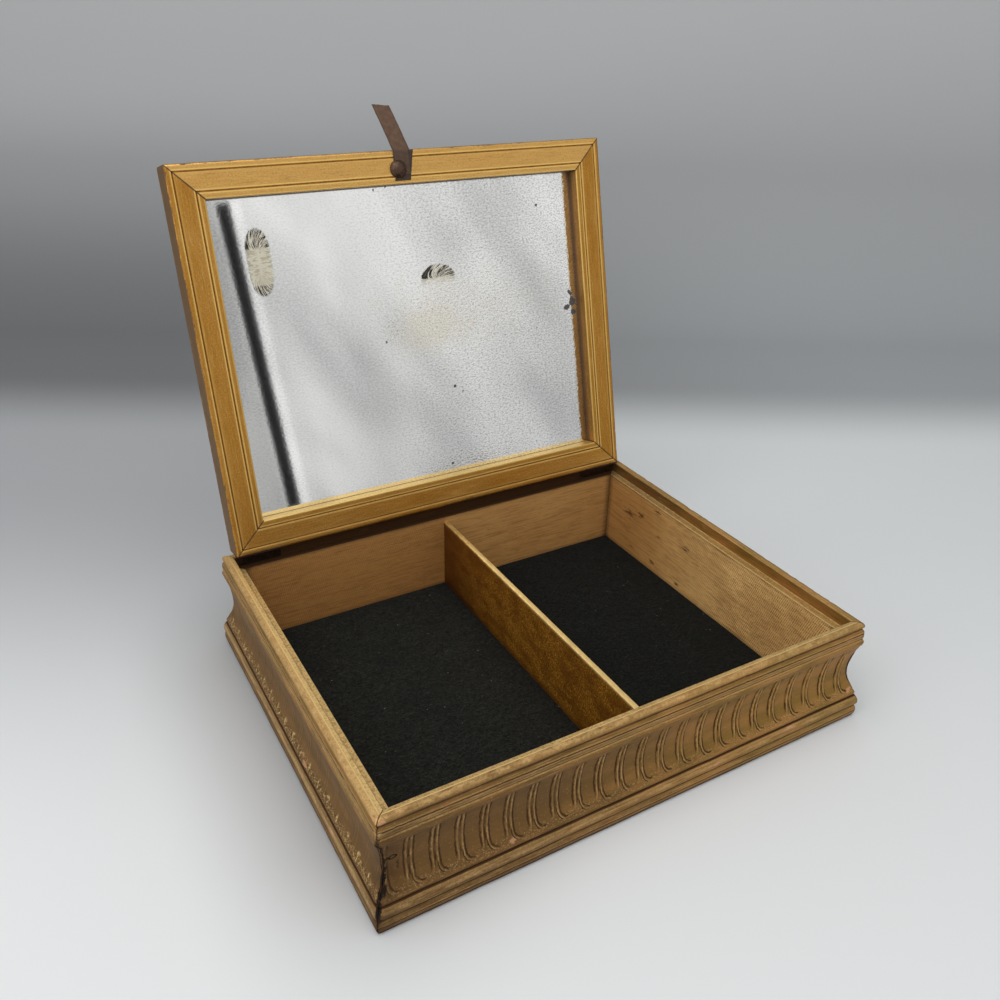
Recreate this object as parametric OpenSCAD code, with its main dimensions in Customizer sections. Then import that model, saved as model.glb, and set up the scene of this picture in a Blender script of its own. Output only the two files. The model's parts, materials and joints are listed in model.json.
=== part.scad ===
// Table vanity box with a hinged mirror lid.
// A shallow gilt box is made of mitred picture moulding, with a thin board let into its underside.
// A divider and two felt linings make two compartments. The lid is a mitred frame round a mirror.
// It drops inside the lip, turns on two small butt hinges and leans back on the lip when open.
// Origin: centre of the box's footprint on the table. X right, Y to the hinges, Z up. Millimetres.

/* [Box] */
// Width over the top lip
box_w = 270; // [230:1:320]
// Depth over the top lip
box_d = 218; // [180:1:260]
// Height of the lip above the table
box_h = 60; // [56:0.5:80]
// Wall from the lip's outer edge to the inside face
wall = 9.8; // [9:0.1:13]
// Width of the lip that stands round the lid
lip_w = 5.3; // [4.9:0.1:5.9]
// Depth of the rebate that the lid drops into
rebate = 6.8; // [6.4:0.1:8]
// Rounding of the lip's outer edge
lip_round = 4; // [3.6:0.1:4.4]

/* [Moulding] */
// How far the plinth stands out past the lip
plinth_out = 3.8; // [2.5:0.1:6]
// Height of the plinth's two rolls
plinth_h = 13.9; // [12:0.1:16]
// Radius of the rolls' faces
roll_r = 7; // [6:0.5:12]
// Height of the rounded fillet between plinth and cove
foot_h = 3.1; // [2.4:0.1:4]
// Radius of the cove
cove_r = 29.4; // [27:0.2:40]
// Depth of the cove behind the lip's outer edge
cove_in = 2.4; // [1.2:0.1:3]
// Height of the bead under the lip
bead_h = 5.4; // [4:0.1:6.4]
// Radius of the bead's face
bead_r = 3.4; // [3.3:0.1:6]
// Height of the lip's own face
lip_face = 5.6; // [5:0.1:6.2]
// Width of the quirks that part the mouldings
quirk = 0.7; // [0.4:0.1:1]
// Length of one bay of the ornament in the cove
bay = 11.9; // [9:0.1:20]
// Where the first pair of ribs stands, from the left or back corner
first_pair = 12.7; // [9:0.1:20]
// Spacing of the two ribs in a pair
rib_gap = 2.9; // [2:0.1:4]
// Width of one rib
rib_w = 0.8; // [0.6:0.1:1.4]
// How far a rib stands out of the cove
rib_out = 0.5; // [0.3:0.1:1]

/* [Inside] */
// Thickness of the bottom board
board_t = 4.5; // [3:0.1:6]
// Width of the seat that the board has in each wall
board_seat = 4; // [3:0.1:5]
// Thickness of the felt lining
felt_t = 1.5; // [1:0.1:2.5]
// Thickness of the divider
divider_t = 3; // [2.4:0.1:5]
// Top of the divider below the lid's ledge
divider_drop = 3.2; // [2:0.1:12]
// Centre of the divider, to the right of the middle
divider_x = 0.5; // [-20:0.5:20]
// Depth of the housings that hold the divider's ends
housing = 1.8; // [1:0.1:3]

/* [Lid] */
// How far the lid swings from closed to leaning on the lip
open_angle = 103.5; // [100:0.5:108]
// Thickness of the lid
lid_t = 17; // [16.5:0.1:19]
// Width of the lid's rails
rail_w = 17.6; // [16:0.1:22]
// Gap between lid and lip at each side
side_gap = 0.7; // [0.5:0.1:0.9]
// Gap between lid and lip at the front, where the ribbon passes
front_gap = 1.1; // [1:0.1:1.6]
// Depth of the mirror's face behind the rails' face
mirror_in = 8.2; // [6:0.1:9]
// How far the rails overlap the mirror's edge
overlap = 3.1; // [2:0.1:4]
// Thickness of the mirror glass
glass_t = 3; // [2:0.1:3.5]
// Thickness of the card behind the mirror
card_t = 1; // [0.6:0.1:1.5]
// Thickness of the lid's outer panel
panel_t = 3; // [2:0.1:3.5]
// Distance of each groove from the rail's edge
groove_in = 3.8; // [3:0.1:5]
// Width of a groove in the rail's face
groove_w = 1.1; // [0.6:0.1:1.6]
// Rounding of the lid's inner and outer edges
edge_r = 1.2; // [0.6:0.1:2]

/* [Hinges] */
// Length of a hinge
hinge_l = 25; // [20:1:30]
// Distance of a hinge from the lid's side
hinge_inset = 0.8; // [0.6:0.1:6]
// Thickness of a leaf
leaf_t = 0.8; // [0.6:0.05:0.9]
// How deep the box's leaf is let into the lip
leaf_in = 0.5; // [0.4:0.05:0.55]
// Radius of the knuckle
knuckle_r = 1.5; // [1.4:0.05:1.6]
// Length of each of the two outer knuckles
knuckle_l = 8; // [6:0.1:8.5]
// Radius of the hinge pin
pin_r = 0.75; // [0.6:0.05:0.8]
// Running clearance round the pin in the lid's knuckle
pin_clear = 0.05; // [0.03:0.01:0.08]
// Gap between lid and lip's face when closed, split at the hinge's axis
hinge_gap = 0.8; // [0.7:0.05:0.9]
// Radius of a hinge screw's shank
screw_r = 0.9; // [0.7:0.05:1]
// Radius of a hinge screw's head
head_r = 1.7; // [1.5:0.05:1.9]
// Spacing of the two screws in a leaf
screw_pitch = 16; // [14:0.5:17]
// Length of the screws in the lip
lip_screw_l = 4.2; // [3:0.1:4.4]
// Length of the screws in the lid
lid_screw_l = 8; // [5:0.5:10]

/* [Nails] */
// Radius of a corner or bottom nail
nail_r = 0.6; // [0.4:0.05:0.7]
// Length of a corner nail
corner_nail_l = 25; // [18:1:28]
// Depth of a corner nail's head under the surface
nail_in = 1.5; // [1:0.1:2.5]
// Distance of a corner nail from the side that it runs along
corner_in = 5.2; // [5:0.1:6]
// Length of a bottom nail
board_nail_l = 14; // [10:0.5:16]

/* [Pull] */
// Radius of the tack's domed head
tack_r = 4.75; // [4:0.05:6]
// Height of the tack's dome
tack_h = 2.7; // [2:0.1:3.5]
// Radius of the tack's shank
tack_shank_r = 0.8; // [0.6:0.05:1]
// Length of the tack's shank
tack_l = 9; // [6:0.5:12]
// Tack's centre from the lid's front edge
tack_in = 9.9; // [8:0.1:12]
// Tack's centre to the right of the lid's middle
tack_x = -5.1; // [-20:0.1:20]
// Width of the ribbon
ribbon_w = 9.3; // [7:0.1:12]
// Thickness of the ribbon
ribbon_t = 0.3; // [0.25:0.01:0.32]
// Length of the tab past the lid's front edge
tab_l = 24.5; // [15:0.5:30]
// Ribbon's middle to the right of the tack's, where it leaves the lid
ribbon_x = 2.7; // [-3:0.1:3]
// Lean of the tab to the left
tab_lean = 21; // [0:1:25]
// Middle of the ribbon's under layer to the right of the tack's
tail_x = 3.4; // [-3:0.1:3.6]
// Lean of the ribbon's under layer to the right
tail_lean = 11.5; // [0:0.5:14]
// Length of the under layer below the tack's centre
tail_l = 6.2; // [5:0.1:7]

/* [Hidden] */
$fn = 64;

// Clearances: glued or laid in, nailed or screwed in, the lid's stop, and free running at the hinge
fit = 0.1;
snug = 0.02;
stop_gap = 0.15;
run = 0.3;
eps = 0.01;

// Box
riser_x = box_w / 2 - lip_w;
riser_y = box_d / 2 - lip_w;
ledge_z = box_h - rebate;
in_x = box_w / 2 - wall;
in_y = box_d / 2 - wall;
felt_z = board_t + felt_t;
divider_top = ledge_z - divider_drop;

// Heights of the mouldings, from the lip down
lip_z = box_h - lip_face;
bead_top = lip_z - quirk;
bead_z = bead_top - 1.8;
cove_top = bead_z - bead_h - quirk;
cove_z = plinth_h + foot_h;
cove_mid = (cove_top + cove_z) / 2;
roll_z = plinth_h * 0.53;

// Hinge axis: at the lip's inner edge, as high as the leaning lid's edge has to pass the lip
lean = open_angle - 90;
lid_edge = 0.3;
axis_y = riser_y - (hinge_gap - lid_edge);
lip_cy = box_d / 2 - lip_round;
lip_cz = box_h - lip_round;
axis_z = lip_cz + (lip_round + stop_gap - lid_edge + (lip_cy - axis_y) * sin(lean)) / cos(lean);

// Lid, as it lies closed
face_z = ledge_z + 2 * ribbon_t + fit;
lid_w = 2 * (riser_x - side_gap);
lid_back = axis_y - lid_edge;
lid_front = -riser_y + front_gap;
lid_d = lid_back - lid_front;
lid_y = (lid_back + lid_front) / 2;
pocket_w = lid_w - 2 * rail_w + 2 * overlap;
pocket_d = lid_d - 2 * rail_w + 2 * overlap;
hinge_x = lid_w / 2 - hinge_inset - hinge_l / 2;
mid_l = hinge_l - 2 * knuckle_l - run;
screw_z = (ledge_z + axis_z - knuckle_r) / 2;
tack_y = lid_front + tack_in;
dome_r = (tack_r * tack_r + tack_h * tack_h) / (2 * tack_h);
GOLD = [0.66, 0.52, 0.30];
BRONZE = [0.56, 0.45, 0.27];
IRON = [0.16, 0.13, 0.12];
FELT = [0.06, 0.06, 0.06];
STEEL = [0.55, 0.55, 0.56];

// Puts what is drawn for the closed lid where the open lid has it
module opened() {
    translate([0, axis_y, axis_z]) rotate([-open_angle, 0, 0])
        translate([0, -axis_y, -axis_z]) children();
}

// Round bar along X, centred on its own middle
module bar_x(r, l) {
    rotate([0, 90, 0]) cylinder(r = r, h = l, center = true);
}

// Section of the wall: x is outward from the lip's outer edge, y is height
module wall_section() {
    difference() {
        union() {
            translate([-wall, 0]) square([wall - cove_in - 0.4, lip_z + eps]);
            roll(roll_z * 0.53, 0, roll_z);
            roll(roll_z * 1.22, roll_z, plinth_h);
            intersection() {
                translate([0.1, plinth_h + foot_h / 2]) circle(r = 2);
                translate([-wall, plinth_h]) square([wall + 4, foot_h]);
            }
            difference() {
                translate([-wall, cove_z]) square([wall + 1.2, cove_mid - cove_z]);
                cove(0);
            }
            difference() {
                translate([-wall, cove_mid]) square([wall + 0.5, cove_top - cove_mid]);
                cove(0);
            }
            intersection() {
                translate([0.9 - bead_r, bead_z - bead_h / 2]) circle(r = bead_r);
                translate([-wall, bead_z - bead_h]) square([wall + 4, bead_h]);
            }
            translate([-wall, bead_z]) square([wall + 0.1, bead_top - bead_z]);
            translate([-wall, lip_z]) square([wall, lip_face - lip_round]);
            translate([-wall, lip_z]) square([wall - lip_round, lip_face]);
            intersection() {
                translate([-lip_round, lip_cz]) circle(r = lip_round);
                translate([-wall, lip_cz - eps]) square([wall + 4, lip_round + 1]);
            }
        }
        translate([-wall - 1, ledge_z]) square([wall - lip_w + 1, rebate + 1]);
        translate([-wall - 1, -1]) square([board_seat + 1, board_t + 1]);
    }
}

// One roll of the plinth between two heights
module roll(mid, low, high) {
    intersection() {
        translate([plinth_out - roll_r, mid]) circle(r = roll_r, $fn = 96);
        translate([-wall, low]) square([wall + plinth_out + 1, high - low]);
    }
}

// The cove's round, with its surface brought out by the given amount
module cove(out) {
    translate([cove_r - cove_in, cove_mid]) circle(r = cove_r - out, $fn = 160);
}

// Section of a raised rib that follows the cove
module rib_section() {
    intersection() {
        difference() {
            translate([-cove_in - 0.3, cove_z + 2.4]) square([6, cove_top - cove_z - 3.6]);
            cove(rib_out);
        }
        translate([cove_r - cove_in, cove_mid]) circle(r = cove_r + 0.6, $fn = 160);
    }
}

// Stands a section up at the front, running along X for a length, outward being -Y
module run_along(l) {
    rotate([90, 0, -90]) translate([0, 0, -l / 2]) linear_extrude(l) children();
}

// Straight moulding with its pairs of ribs, its lip's outer edge on the X axis
module stick(l) {
    long = l + 2 * plinth_out + 4;
    run_along(long) wall_section();
    for (x = [first_pair : bay : l - 4])
        for (s = [-1, 1])
            translate([x - l / 2 + s * rib_gap / 2, 0, 0]) run_along(rib_w) rib_section();
}

// Space of one mitred side, in plan, for a frame of size w by d; outward is -Y
module mitre(w, d, h) {
    o = 20;
    i = 24;
    translate([0, 0, -1]) linear_extrude(h + 2) translate([0, -d / 2])
        polygon([[-w / 2 - o, -o], [w / 2 + o, -o], [w / 2 - i, i], [-w / 2 + i, i]]);
}

// Front side of the box, of the given length, at the given distance from the middle
module box_side(l, away) {
    intersection() {
        translate([0, -away, 0]) stick(l);
        mitre(l, 2 * away, box_h);
    }
}

// What the fittings take out of the box's walls
module box_cuts() {
    translate([divider_x - divider_t / 2 - fit / 2, -in_y - housing, board_t])
        cube([divider_t + fit, 2 * (in_y + housing), divider_top - board_t + fit]);
    for (s = [-1, 1]) {
        corner_nails(s, -1, snug);
        corner_nails(s, 1, snug);
        scale_x(s) {
            leaf_seat();
            hinge_notch();
            box_screws_at(snug, 0.4);
        }
    }
    board_nails_at(snug, 0.3);
}

// Mirrors a right-hand fitting to the left for s = -1
module scale_x(s) {
    if (s > 0) children();
    else mirror([1, 0, 0]) children();
}

// Room for the knuckle, cut in the lip and in the lid's edge
module hinge_notch() {
    translate([hinge_x - hinge_l / 2 - 0.45, axis_y, axis_z]) rotate([0, 90, 0])
        cylinder(r = knuckle_r + run, h = riser_x - 0.15 - hinge_x + hinge_l / 2 + 0.45);
}

// Shallow seat of the box's leaf in the lip
module leaf_seat() {
    translate([hinge_x - hinge_l / 2 - fit, riser_y - 2, ledge_z])
        cube([hinge_l + 2 * fit, 2 + leaf_in, axis_z - ledge_z + 1]);
}

// Two nails through one mitred corner of the box, s to the side, t to the front or back
module corner_nails(s, t, more) {
    for (z = [plinth_h * 0.68, bead_z - bead_h / 2])
        translate([s * (box_w / 2 - nail_in - corner_nail_l / 2), t * (box_d / 2 - corner_in), z])
            bar_x(nail_r + more, corner_nail_l + 2 * more);
}

// Nails up through the board's edge into the walls
module board_nails_at(more, past) {
    ex = in_x + board_seat / 2;
    ey = in_y + board_seat / 2;
    for (s = [-1, 1]) {
        for (x = [-0.37, -0.17, 0.17, 0.37]) translate([x * box_w, s * ey, 0]) board_nail(more, past);
        for (y = [-0.36, 0, 0.36]) translate([s * ex, y * box_d, 0]) board_nail(more, past);
    }
}

// One nail with a countersunk head flush with the board's underside
module board_nail(more, past) {
    translate([0, 0, past > 0 ? -past : 0])
        cylinder(r = nail_r + more, h = board_nail_l + more + (past > 0 ? past : 0));
    cylinder(r1 = 2 * nail_r + more, r2 = nail_r + more, h = 1.2 * nail_r);
}

module box_wall(side) {
    difference() {
        if (side == "front") box_side(box_w, box_d / 2);
        else if (side == "back") rotate([0, 0, 180]) box_side(box_w, box_d / 2);
        else if (side == "left") rotate([0, 0, -90]) box_side(box_d, box_w / 2);
        else rotate([0, 0, 90]) box_side(box_d, box_w / 2);
        box_cuts();
    }
}

module rail_front() color(BRONZE) box_wall("front");
module rail_back() color(BRONZE) box_wall("back");
module rail_left() color(BRONZE) box_wall("left");
module rail_right() color(BRONZE) box_wall("right");

module base_board() color([0.50, 0.36, 0.22]) difference() {
    w = 2 * (in_x + board_seat - fit);
    d = 2 * (in_y + board_seat - fit);
    translate([-w / 2, -d / 2, 0]) cube([w, d, board_t]);
    board_nails_at(snug, 0.3);
}

// Lining of one compartment, between a wall and the divider
module felt(lo, hi) {
    translate([lo + fit, -in_y + fit, board_t]) cube([hi - lo - 2 * fit, 2 * (in_y - fit), felt_t]);
}

module felt_left() color(FELT) felt(-in_x, divider_x - divider_t / 2);
module felt_right() color(FELT) felt(divider_x + divider_t / 2, in_x);

module divider() color(GOLD)
    translate([divider_x - divider_t / 2, -in_y - housing + fit, board_t])
        cube([divider_t, 2 * (in_y + housing - fit), divider_top - board_t]);

module nails_front_left() color(STEEL) corner_nails(-1, -1, 0);
module nails_front_right() color(STEEL) corner_nails(1, -1, 0);
module nails_back_left() color(STEEL) corner_nails(-1, 1, 0);
module nails_back_right() color(STEEL) corner_nails(1, 1, 0);
module board_nails() color(STEEL) board_nails_at(0, 0);

// Length of bar along the hinge's axis, from x to x + l
module on_axis(x, r, l) {
    translate([x, axis_y, axis_z]) rotate([0, 90, 0]) cylinder(r = r, h = l);
}

// Countersunk screw along +Y with its head's face at the origin
module screw(l, more, past) {
    rotate([-90, 0, 0]) {
        cylinder(r = screw_r + more, h = l + more);
        cylinder(r1 = head_r + more, r2 = screw_r + more, h = leaf_t);
        if (past > 0) translate([0, 0, -past]) cylinder(r = head_r + more, h = past + eps);
    }
}

// The two screws of the right-hand leaf in the lip
module box_screws_at(more, past) {
    for (s = [-1, 1]) translate([hinge_x + s * screw_pitch / 2, riser_y + leaf_in - leaf_t, screw_z])
        screw(lip_screw_l, more, past);
}

// The two screws of the right-hand leaf in the closed lid's back edge
module lid_screws_at(more, past) {
    for (s = [-1, 1]) translate([hinge_x + s * screw_pitch / 2, lid_back, screw_z + fit])
        mirror([0, 1, 0]) screw(lid_screw_l, more, past);
}

// Cuts a driver's slot in both screws of a leaf, y being the plane of their heads
module slotted(y, z) {
    difference() {
        children();
        for (s = [-1, 1]) translate([hinge_x + s * screw_pitch / 2, y, z])
            rotate([0, 40 * s, 0]) cube([0.4, 0.7, 2 * head_r + 1], center = true);
    }
}

// Right-hand leaf on the box: a plate on the lip's inner face and two outer knuckles
module box_leaf() difference() {
    union() {
        translate([hinge_x - hinge_l / 2, riser_y + leaf_in - leaf_t, ledge_z + fit])
            cube([hinge_l, leaf_t, axis_z - ledge_z - fit]);
        on_axis(hinge_x - hinge_l / 2, knuckle_r, knuckle_l);
        on_axis(hinge_x + hinge_l / 2 - knuckle_l, knuckle_r, knuckle_l);
    }
    on_axis(hinge_x - hinge_l / 2 + knuckle_l, knuckle_r + run, hinge_l - 2 * knuckle_l);
    on_axis(hinge_x - hinge_l, pin_r + snug, 2 * hinge_l);
    box_screws_at(snug, 0.4);
}

// Right-hand leaf on the closed lid: a plate let into its back edge and the middle knuckle
module lid_leaf() difference() {
    union() {
        translate([hinge_x - hinge_l / 2, lid_back - leaf_t, face_z + fit])
            cube([hinge_l, leaf_t, axis_z - face_z - fit]);
        on_axis(hinge_x - mid_l / 2, knuckle_r, mid_l);
    }
    for (s = [-1, 1]) on_axis(hinge_x + s * (mid_l + hinge_l) / 2 - hinge_l / 2, knuckle_r + run, hinge_l);
    on_axis(hinge_x - hinge_l, pin_r + pin_clear, 2 * hinge_l);
    lid_screws_at(snug, 0.4);
}

// Pin with a low head at each end
module pin() {
    on_axis(hinge_x - hinge_l / 2 - snug, pin_r, hinge_l + 2 * snug);
    for (s = [-1, 1]) translate([hinge_x + s * (hinge_l / 2 + snug + 0.15), axis_y, axis_z])
        bar_x(pin_r + 0.4, 0.3);
}

module hinge_right_box_leaf() color(IRON) box_leaf();
module hinge_left_box_leaf() color(IRON) mirror([1, 0, 0]) box_leaf();
module hinge_right_pin() color(IRON) pin();
module hinge_left_pin() color(IRON) mirror([1, 0, 0]) pin();
module hinge_right_box_screws() color(IRON)
    slotted(riser_y + leaf_in - leaf_t, screw_z) box_screws_at(0, 0);
module hinge_left_box_screws() color(IRON)
    mirror([1, 0, 0]) slotted(riser_y + leaf_in - leaf_t, screw_z) box_screws_at(0, 0);
module hinge_right_lid_leaf() color(IRON) opened() lid_leaf();
module hinge_left_lid_leaf() color(IRON) opened() mirror([1, 0, 0]) lid_leaf();
module hinge_right_lid_screws() color(IRON)
    opened() slotted(lid_back, screw_z + fit) lid_screws_at(0, 0);
module hinge_left_lid_screws() color(IRON)
    opened() mirror([1, 0, 0]) slotted(lid_back, screw_z + fit) lid_screws_at(0, 0);

// Section of a lid rail: x is inward from its outer edge, y is up from its inner face
module lid_section() {
    difference() {
        square([rail_w, lid_t]);
        translate([rail_w - overlap, mirror_in]) square([overlap + 1, lid_t]);
        for (x = [groove_in, rail_w - groove_in])
            polygon([[x - groove_w / 2, -eps], [x + groove_w / 2, -eps], [x, groove_w * 0.6]]);
        edge_round(0, 0, 1, 1);
        edge_round(0, lid_t, 1, -1);
    }
}

// Takes a square edge off to a round one, at a corner of the section
module edge_round(x, y, sx, sy) {
    translate([x, y]) difference() {
        translate([sx > 0 ? -1 : -edge_r, sy > 0 ? -1 : -edge_r]) square(edge_r + 1);
        translate([sx * edge_r, sy * edge_r]) circle(r = edge_r);
    }
}

// Front rail of the closed lid, of the given length, at the given distance from its middle
module lid_side(l, away) {
    intersection() {
        translate([0, -away, 0]) mirror([0, 1, 0]) run_along(l + 2) mirror([1, 0]) lid_section_flip();
        mitre(l, 2 * away, lid_t);
    }
}

module lid_section_flip() {
    mirror([1, 0]) lid_section();
}

// What the fittings take out of the closed lid
module lid_cuts() {
    for (s = [-1, 1]) {
        lid_corner_nails(s, -1, snug);
        lid_corner_nails(s, 1, snug);
        scale_x(s) {
            hinge_notch();
            translate([hinge_x - hinge_l / 2 - fit, lid_back - leaf_t, face_z - 1])
                cube([lid_w / 2 - hinge_x + hinge_l, leaf_t + 1, axis_z - face_z + 1]);
            lid_screws_at(snug, 0.4);
        }
    }
    tack_at(snug);
}

// Two nails through one mitred corner of the closed lid
module lid_corner_nails(s, t, more) {
    for (z = [0.32, 0.72])
        translate([s * (lid_w / 2 - nail_in - corner_nail_l / 2), lid_y + t * (lid_d / 2 - corner_in),
            face_z + z * lid_t]) bar_x(nail_r + more, corner_nail_l + 2 * more);
}

module lid_rail(side) {
    opened() difference() {
        translate([0, lid_y, face_z]) {
            if (side == "front") lid_side(lid_w, lid_d / 2);
            else if (side == "back") rotate([0, 0, 180]) lid_side(lid_w, lid_d / 2);
            else if (side == "left") rotate([0, 0, -90]) lid_side(lid_d, lid_w / 2);
            else rotate([0, 0, 90]) lid_side(lid_d, lid_w / 2);
        }
        lid_cuts();
    }
}

module lid_rail_front() color(GOLD) lid_rail("front");
module lid_rail_back() color(GOLD) lid_rail("back");
module lid_rail_left() color(GOLD) lid_rail("left");
module lid_rail_right() color(GOLD) lid_rail("right");

// A sheet in the lid's pocket, its face the given depth behind the rails' face
module in_pocket(depth, t) {
    w = pocket_w - 2 * fit;
    d = pocket_d - 2 * fit;
    opened() translate([-w / 2, lid_y - d / 2, face_z + depth]) cube([w, d, t]);
}

module mirror_glass() color([0.82, 0.84, 0.84]) in_pocket(mirror_in, glass_t);
module mirror_card() color([0.45, 0.36, 0.26]) in_pocket(mirror_in + glass_t, card_t);
module lid_panel() color(BRONZE) in_pocket(mirror_in + glass_t + card_t, panel_t);
module lid_nails_front_left() color(STEEL) opened() lid_corner_nails(-1, -1, 0);
module lid_nails_front_right() color(STEEL) opened() lid_corner_nails(1, -1, 0);
module lid_nails_back_left() color(STEEL) opened() lid_corner_nails(-1, 1, 0);
module lid_nails_back_right() color(STEEL) opened() lid_corner_nails(1, 1, 0);

// Shank of the tack, up into the closed lid's front rail
module tack_at(more) {
    translate([tack_x, tack_y, face_z - 2 * ribbon_t]) cylinder(r = tack_shank_r + more, h = tack_l + more);
}

module pull_tack() color(IRON) opened() {
    tack_at(0);
    translate([tack_x, tack_y, face_z - 2 * ribbon_t]) intersection() {
        translate([0, 0, dome_r - tack_h]) sphere(r = dome_r, $fn = 96);
        translate([0, 0, -tack_h]) cube(2 * tack_h * [4, 4, 1], center = true);
    }
}

// Flat stretch of ribbon, from y0 to y1 before the tack, its middle at x0 where it crosses y = ref
module strip(x0, ref, y0, y1, lean_right, layer) {
    half = ribbon_w / 2 / cos(lean_right);
    translate([tack_x + x0, tack_y, face_z - layer * ribbon_t]) linear_extrude(ribbon_t)
        polygon([for (p = [[-1, y0], [1, y0], [1, y1], [-1, y1]])
            [p[0] * half + (ref - p[1]) * tan(lean_right), p[1]]]);
}

// The ribbon's two layers on the lid's face, pinned by the tack, up to the lid's front edge
module ribbon_fold() color([0.26, 0.19, 0.14]) opened() difference() {
    union() {
        strip(tail_x, 0, -tack_in + fit, tail_l, tail_lean, 1);
        strip(ribbon_x, 0, -tack_in + fit, tail_l / 2, 0, 2);
    }
    tack_at(snug);
}

// The ribbon's free end past the lid's edge
module pull_tab() color([0.28, 0.20, 0.15]) opened()
    strip(ribbon_x, -tack_in, -tack_in - tab_l, -tack_in - eps, -tab_lean, 2);

rail_front();
rail_back();
rail_left();
rail_right();
base_board();
felt_left();
felt_right();
divider();
nails_front_left();
nails_front_right();
nails_back_left();
nails_back_right();
board_nails();
hinge_left_box_leaf();
hinge_right_box_leaf();
hinge_left_pin();
hinge_right_pin();
hinge_left_box_screws();
hinge_right_box_screws();
lid_rail_front();
lid_rail_back();
lid_rail_left();
lid_rail_right();
mirror_glass();
mirror_card();
lid_panel();
lid_nails_front_left();
lid_nails_front_right();
lid_nails_back_left();
lid_nails_back_right();
hinge_left_lid_leaf();
hinge_right_lid_leaf();
hinge_left_lid_screws();
hinge_right_lid_screws();
pull_tack();
ribbon_fold();
pull_tab();
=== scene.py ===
"""Dresses a packed vanity box: gilt moulding, mirror lid, felt lining and ribbon pull."""

import json
import math

import bpy
import numpy as np
from bpy.props import FloatProperty, FloatVectorProperty, PointerProperty
from bpy.types import Operator, Panel, PropertyGroup
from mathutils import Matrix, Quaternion, Vector


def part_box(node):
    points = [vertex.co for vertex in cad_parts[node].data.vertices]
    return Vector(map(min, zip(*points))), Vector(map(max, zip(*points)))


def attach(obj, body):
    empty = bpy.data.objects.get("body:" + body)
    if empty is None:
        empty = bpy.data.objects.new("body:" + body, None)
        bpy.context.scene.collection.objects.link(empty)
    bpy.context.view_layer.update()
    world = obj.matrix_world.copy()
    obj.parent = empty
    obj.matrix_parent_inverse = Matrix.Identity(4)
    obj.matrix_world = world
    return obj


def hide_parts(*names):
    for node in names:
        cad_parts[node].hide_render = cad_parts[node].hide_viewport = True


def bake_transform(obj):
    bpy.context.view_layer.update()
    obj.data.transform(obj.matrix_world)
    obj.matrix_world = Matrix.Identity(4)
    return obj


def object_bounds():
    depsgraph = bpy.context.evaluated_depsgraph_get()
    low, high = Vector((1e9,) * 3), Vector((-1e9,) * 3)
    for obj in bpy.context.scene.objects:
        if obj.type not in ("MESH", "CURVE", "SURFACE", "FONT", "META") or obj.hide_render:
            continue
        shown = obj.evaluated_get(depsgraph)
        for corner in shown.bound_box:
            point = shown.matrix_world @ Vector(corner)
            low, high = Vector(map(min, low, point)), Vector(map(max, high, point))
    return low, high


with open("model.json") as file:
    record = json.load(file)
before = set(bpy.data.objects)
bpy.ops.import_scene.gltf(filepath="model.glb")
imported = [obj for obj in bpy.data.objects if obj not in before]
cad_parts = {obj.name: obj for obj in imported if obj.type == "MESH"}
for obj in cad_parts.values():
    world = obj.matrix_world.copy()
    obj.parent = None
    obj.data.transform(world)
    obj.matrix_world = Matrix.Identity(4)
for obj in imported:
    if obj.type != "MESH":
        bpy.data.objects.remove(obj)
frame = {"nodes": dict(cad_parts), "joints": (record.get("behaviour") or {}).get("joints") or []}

bl_info = {
    "name": "Vanity box",
    "version": (1, 0, 0),
    "blender": (4, 5, 0),
    "location": "View3D > Sidebar > Vanity box",
    "description": "Builds a gilt vanity box with a mirror lid round its packed model",
    "category": "Add Mesh",
}

MM = 0.001
CAD_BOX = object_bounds()
HINGE = next(j for j in frame["joints"] if j["name"] == "lid_hinge")
SWING = math.radians(HINGE["range_deg"][1])


def paint(red, green, blue):
    """Colour from 0 to 255, for a colour setting."""
    def linear(c):
        c /= 255
        return c / 12.92 if c <= 0.04045 else ((c + 0.055) / 1.055) ** 2.4
    return (linear(red), linear(green), linear(blue), 1.0)


def length(name, description, default):
    return FloatProperty(name=name, description=description, default=default * MM, unit="LENGTH", precision=5)


def colour(name, description, default):
    return FloatVectorProperty(
        name=name, description=description, default=default, subtype="COLOR", size=4, min=0, max=1
    )


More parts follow.
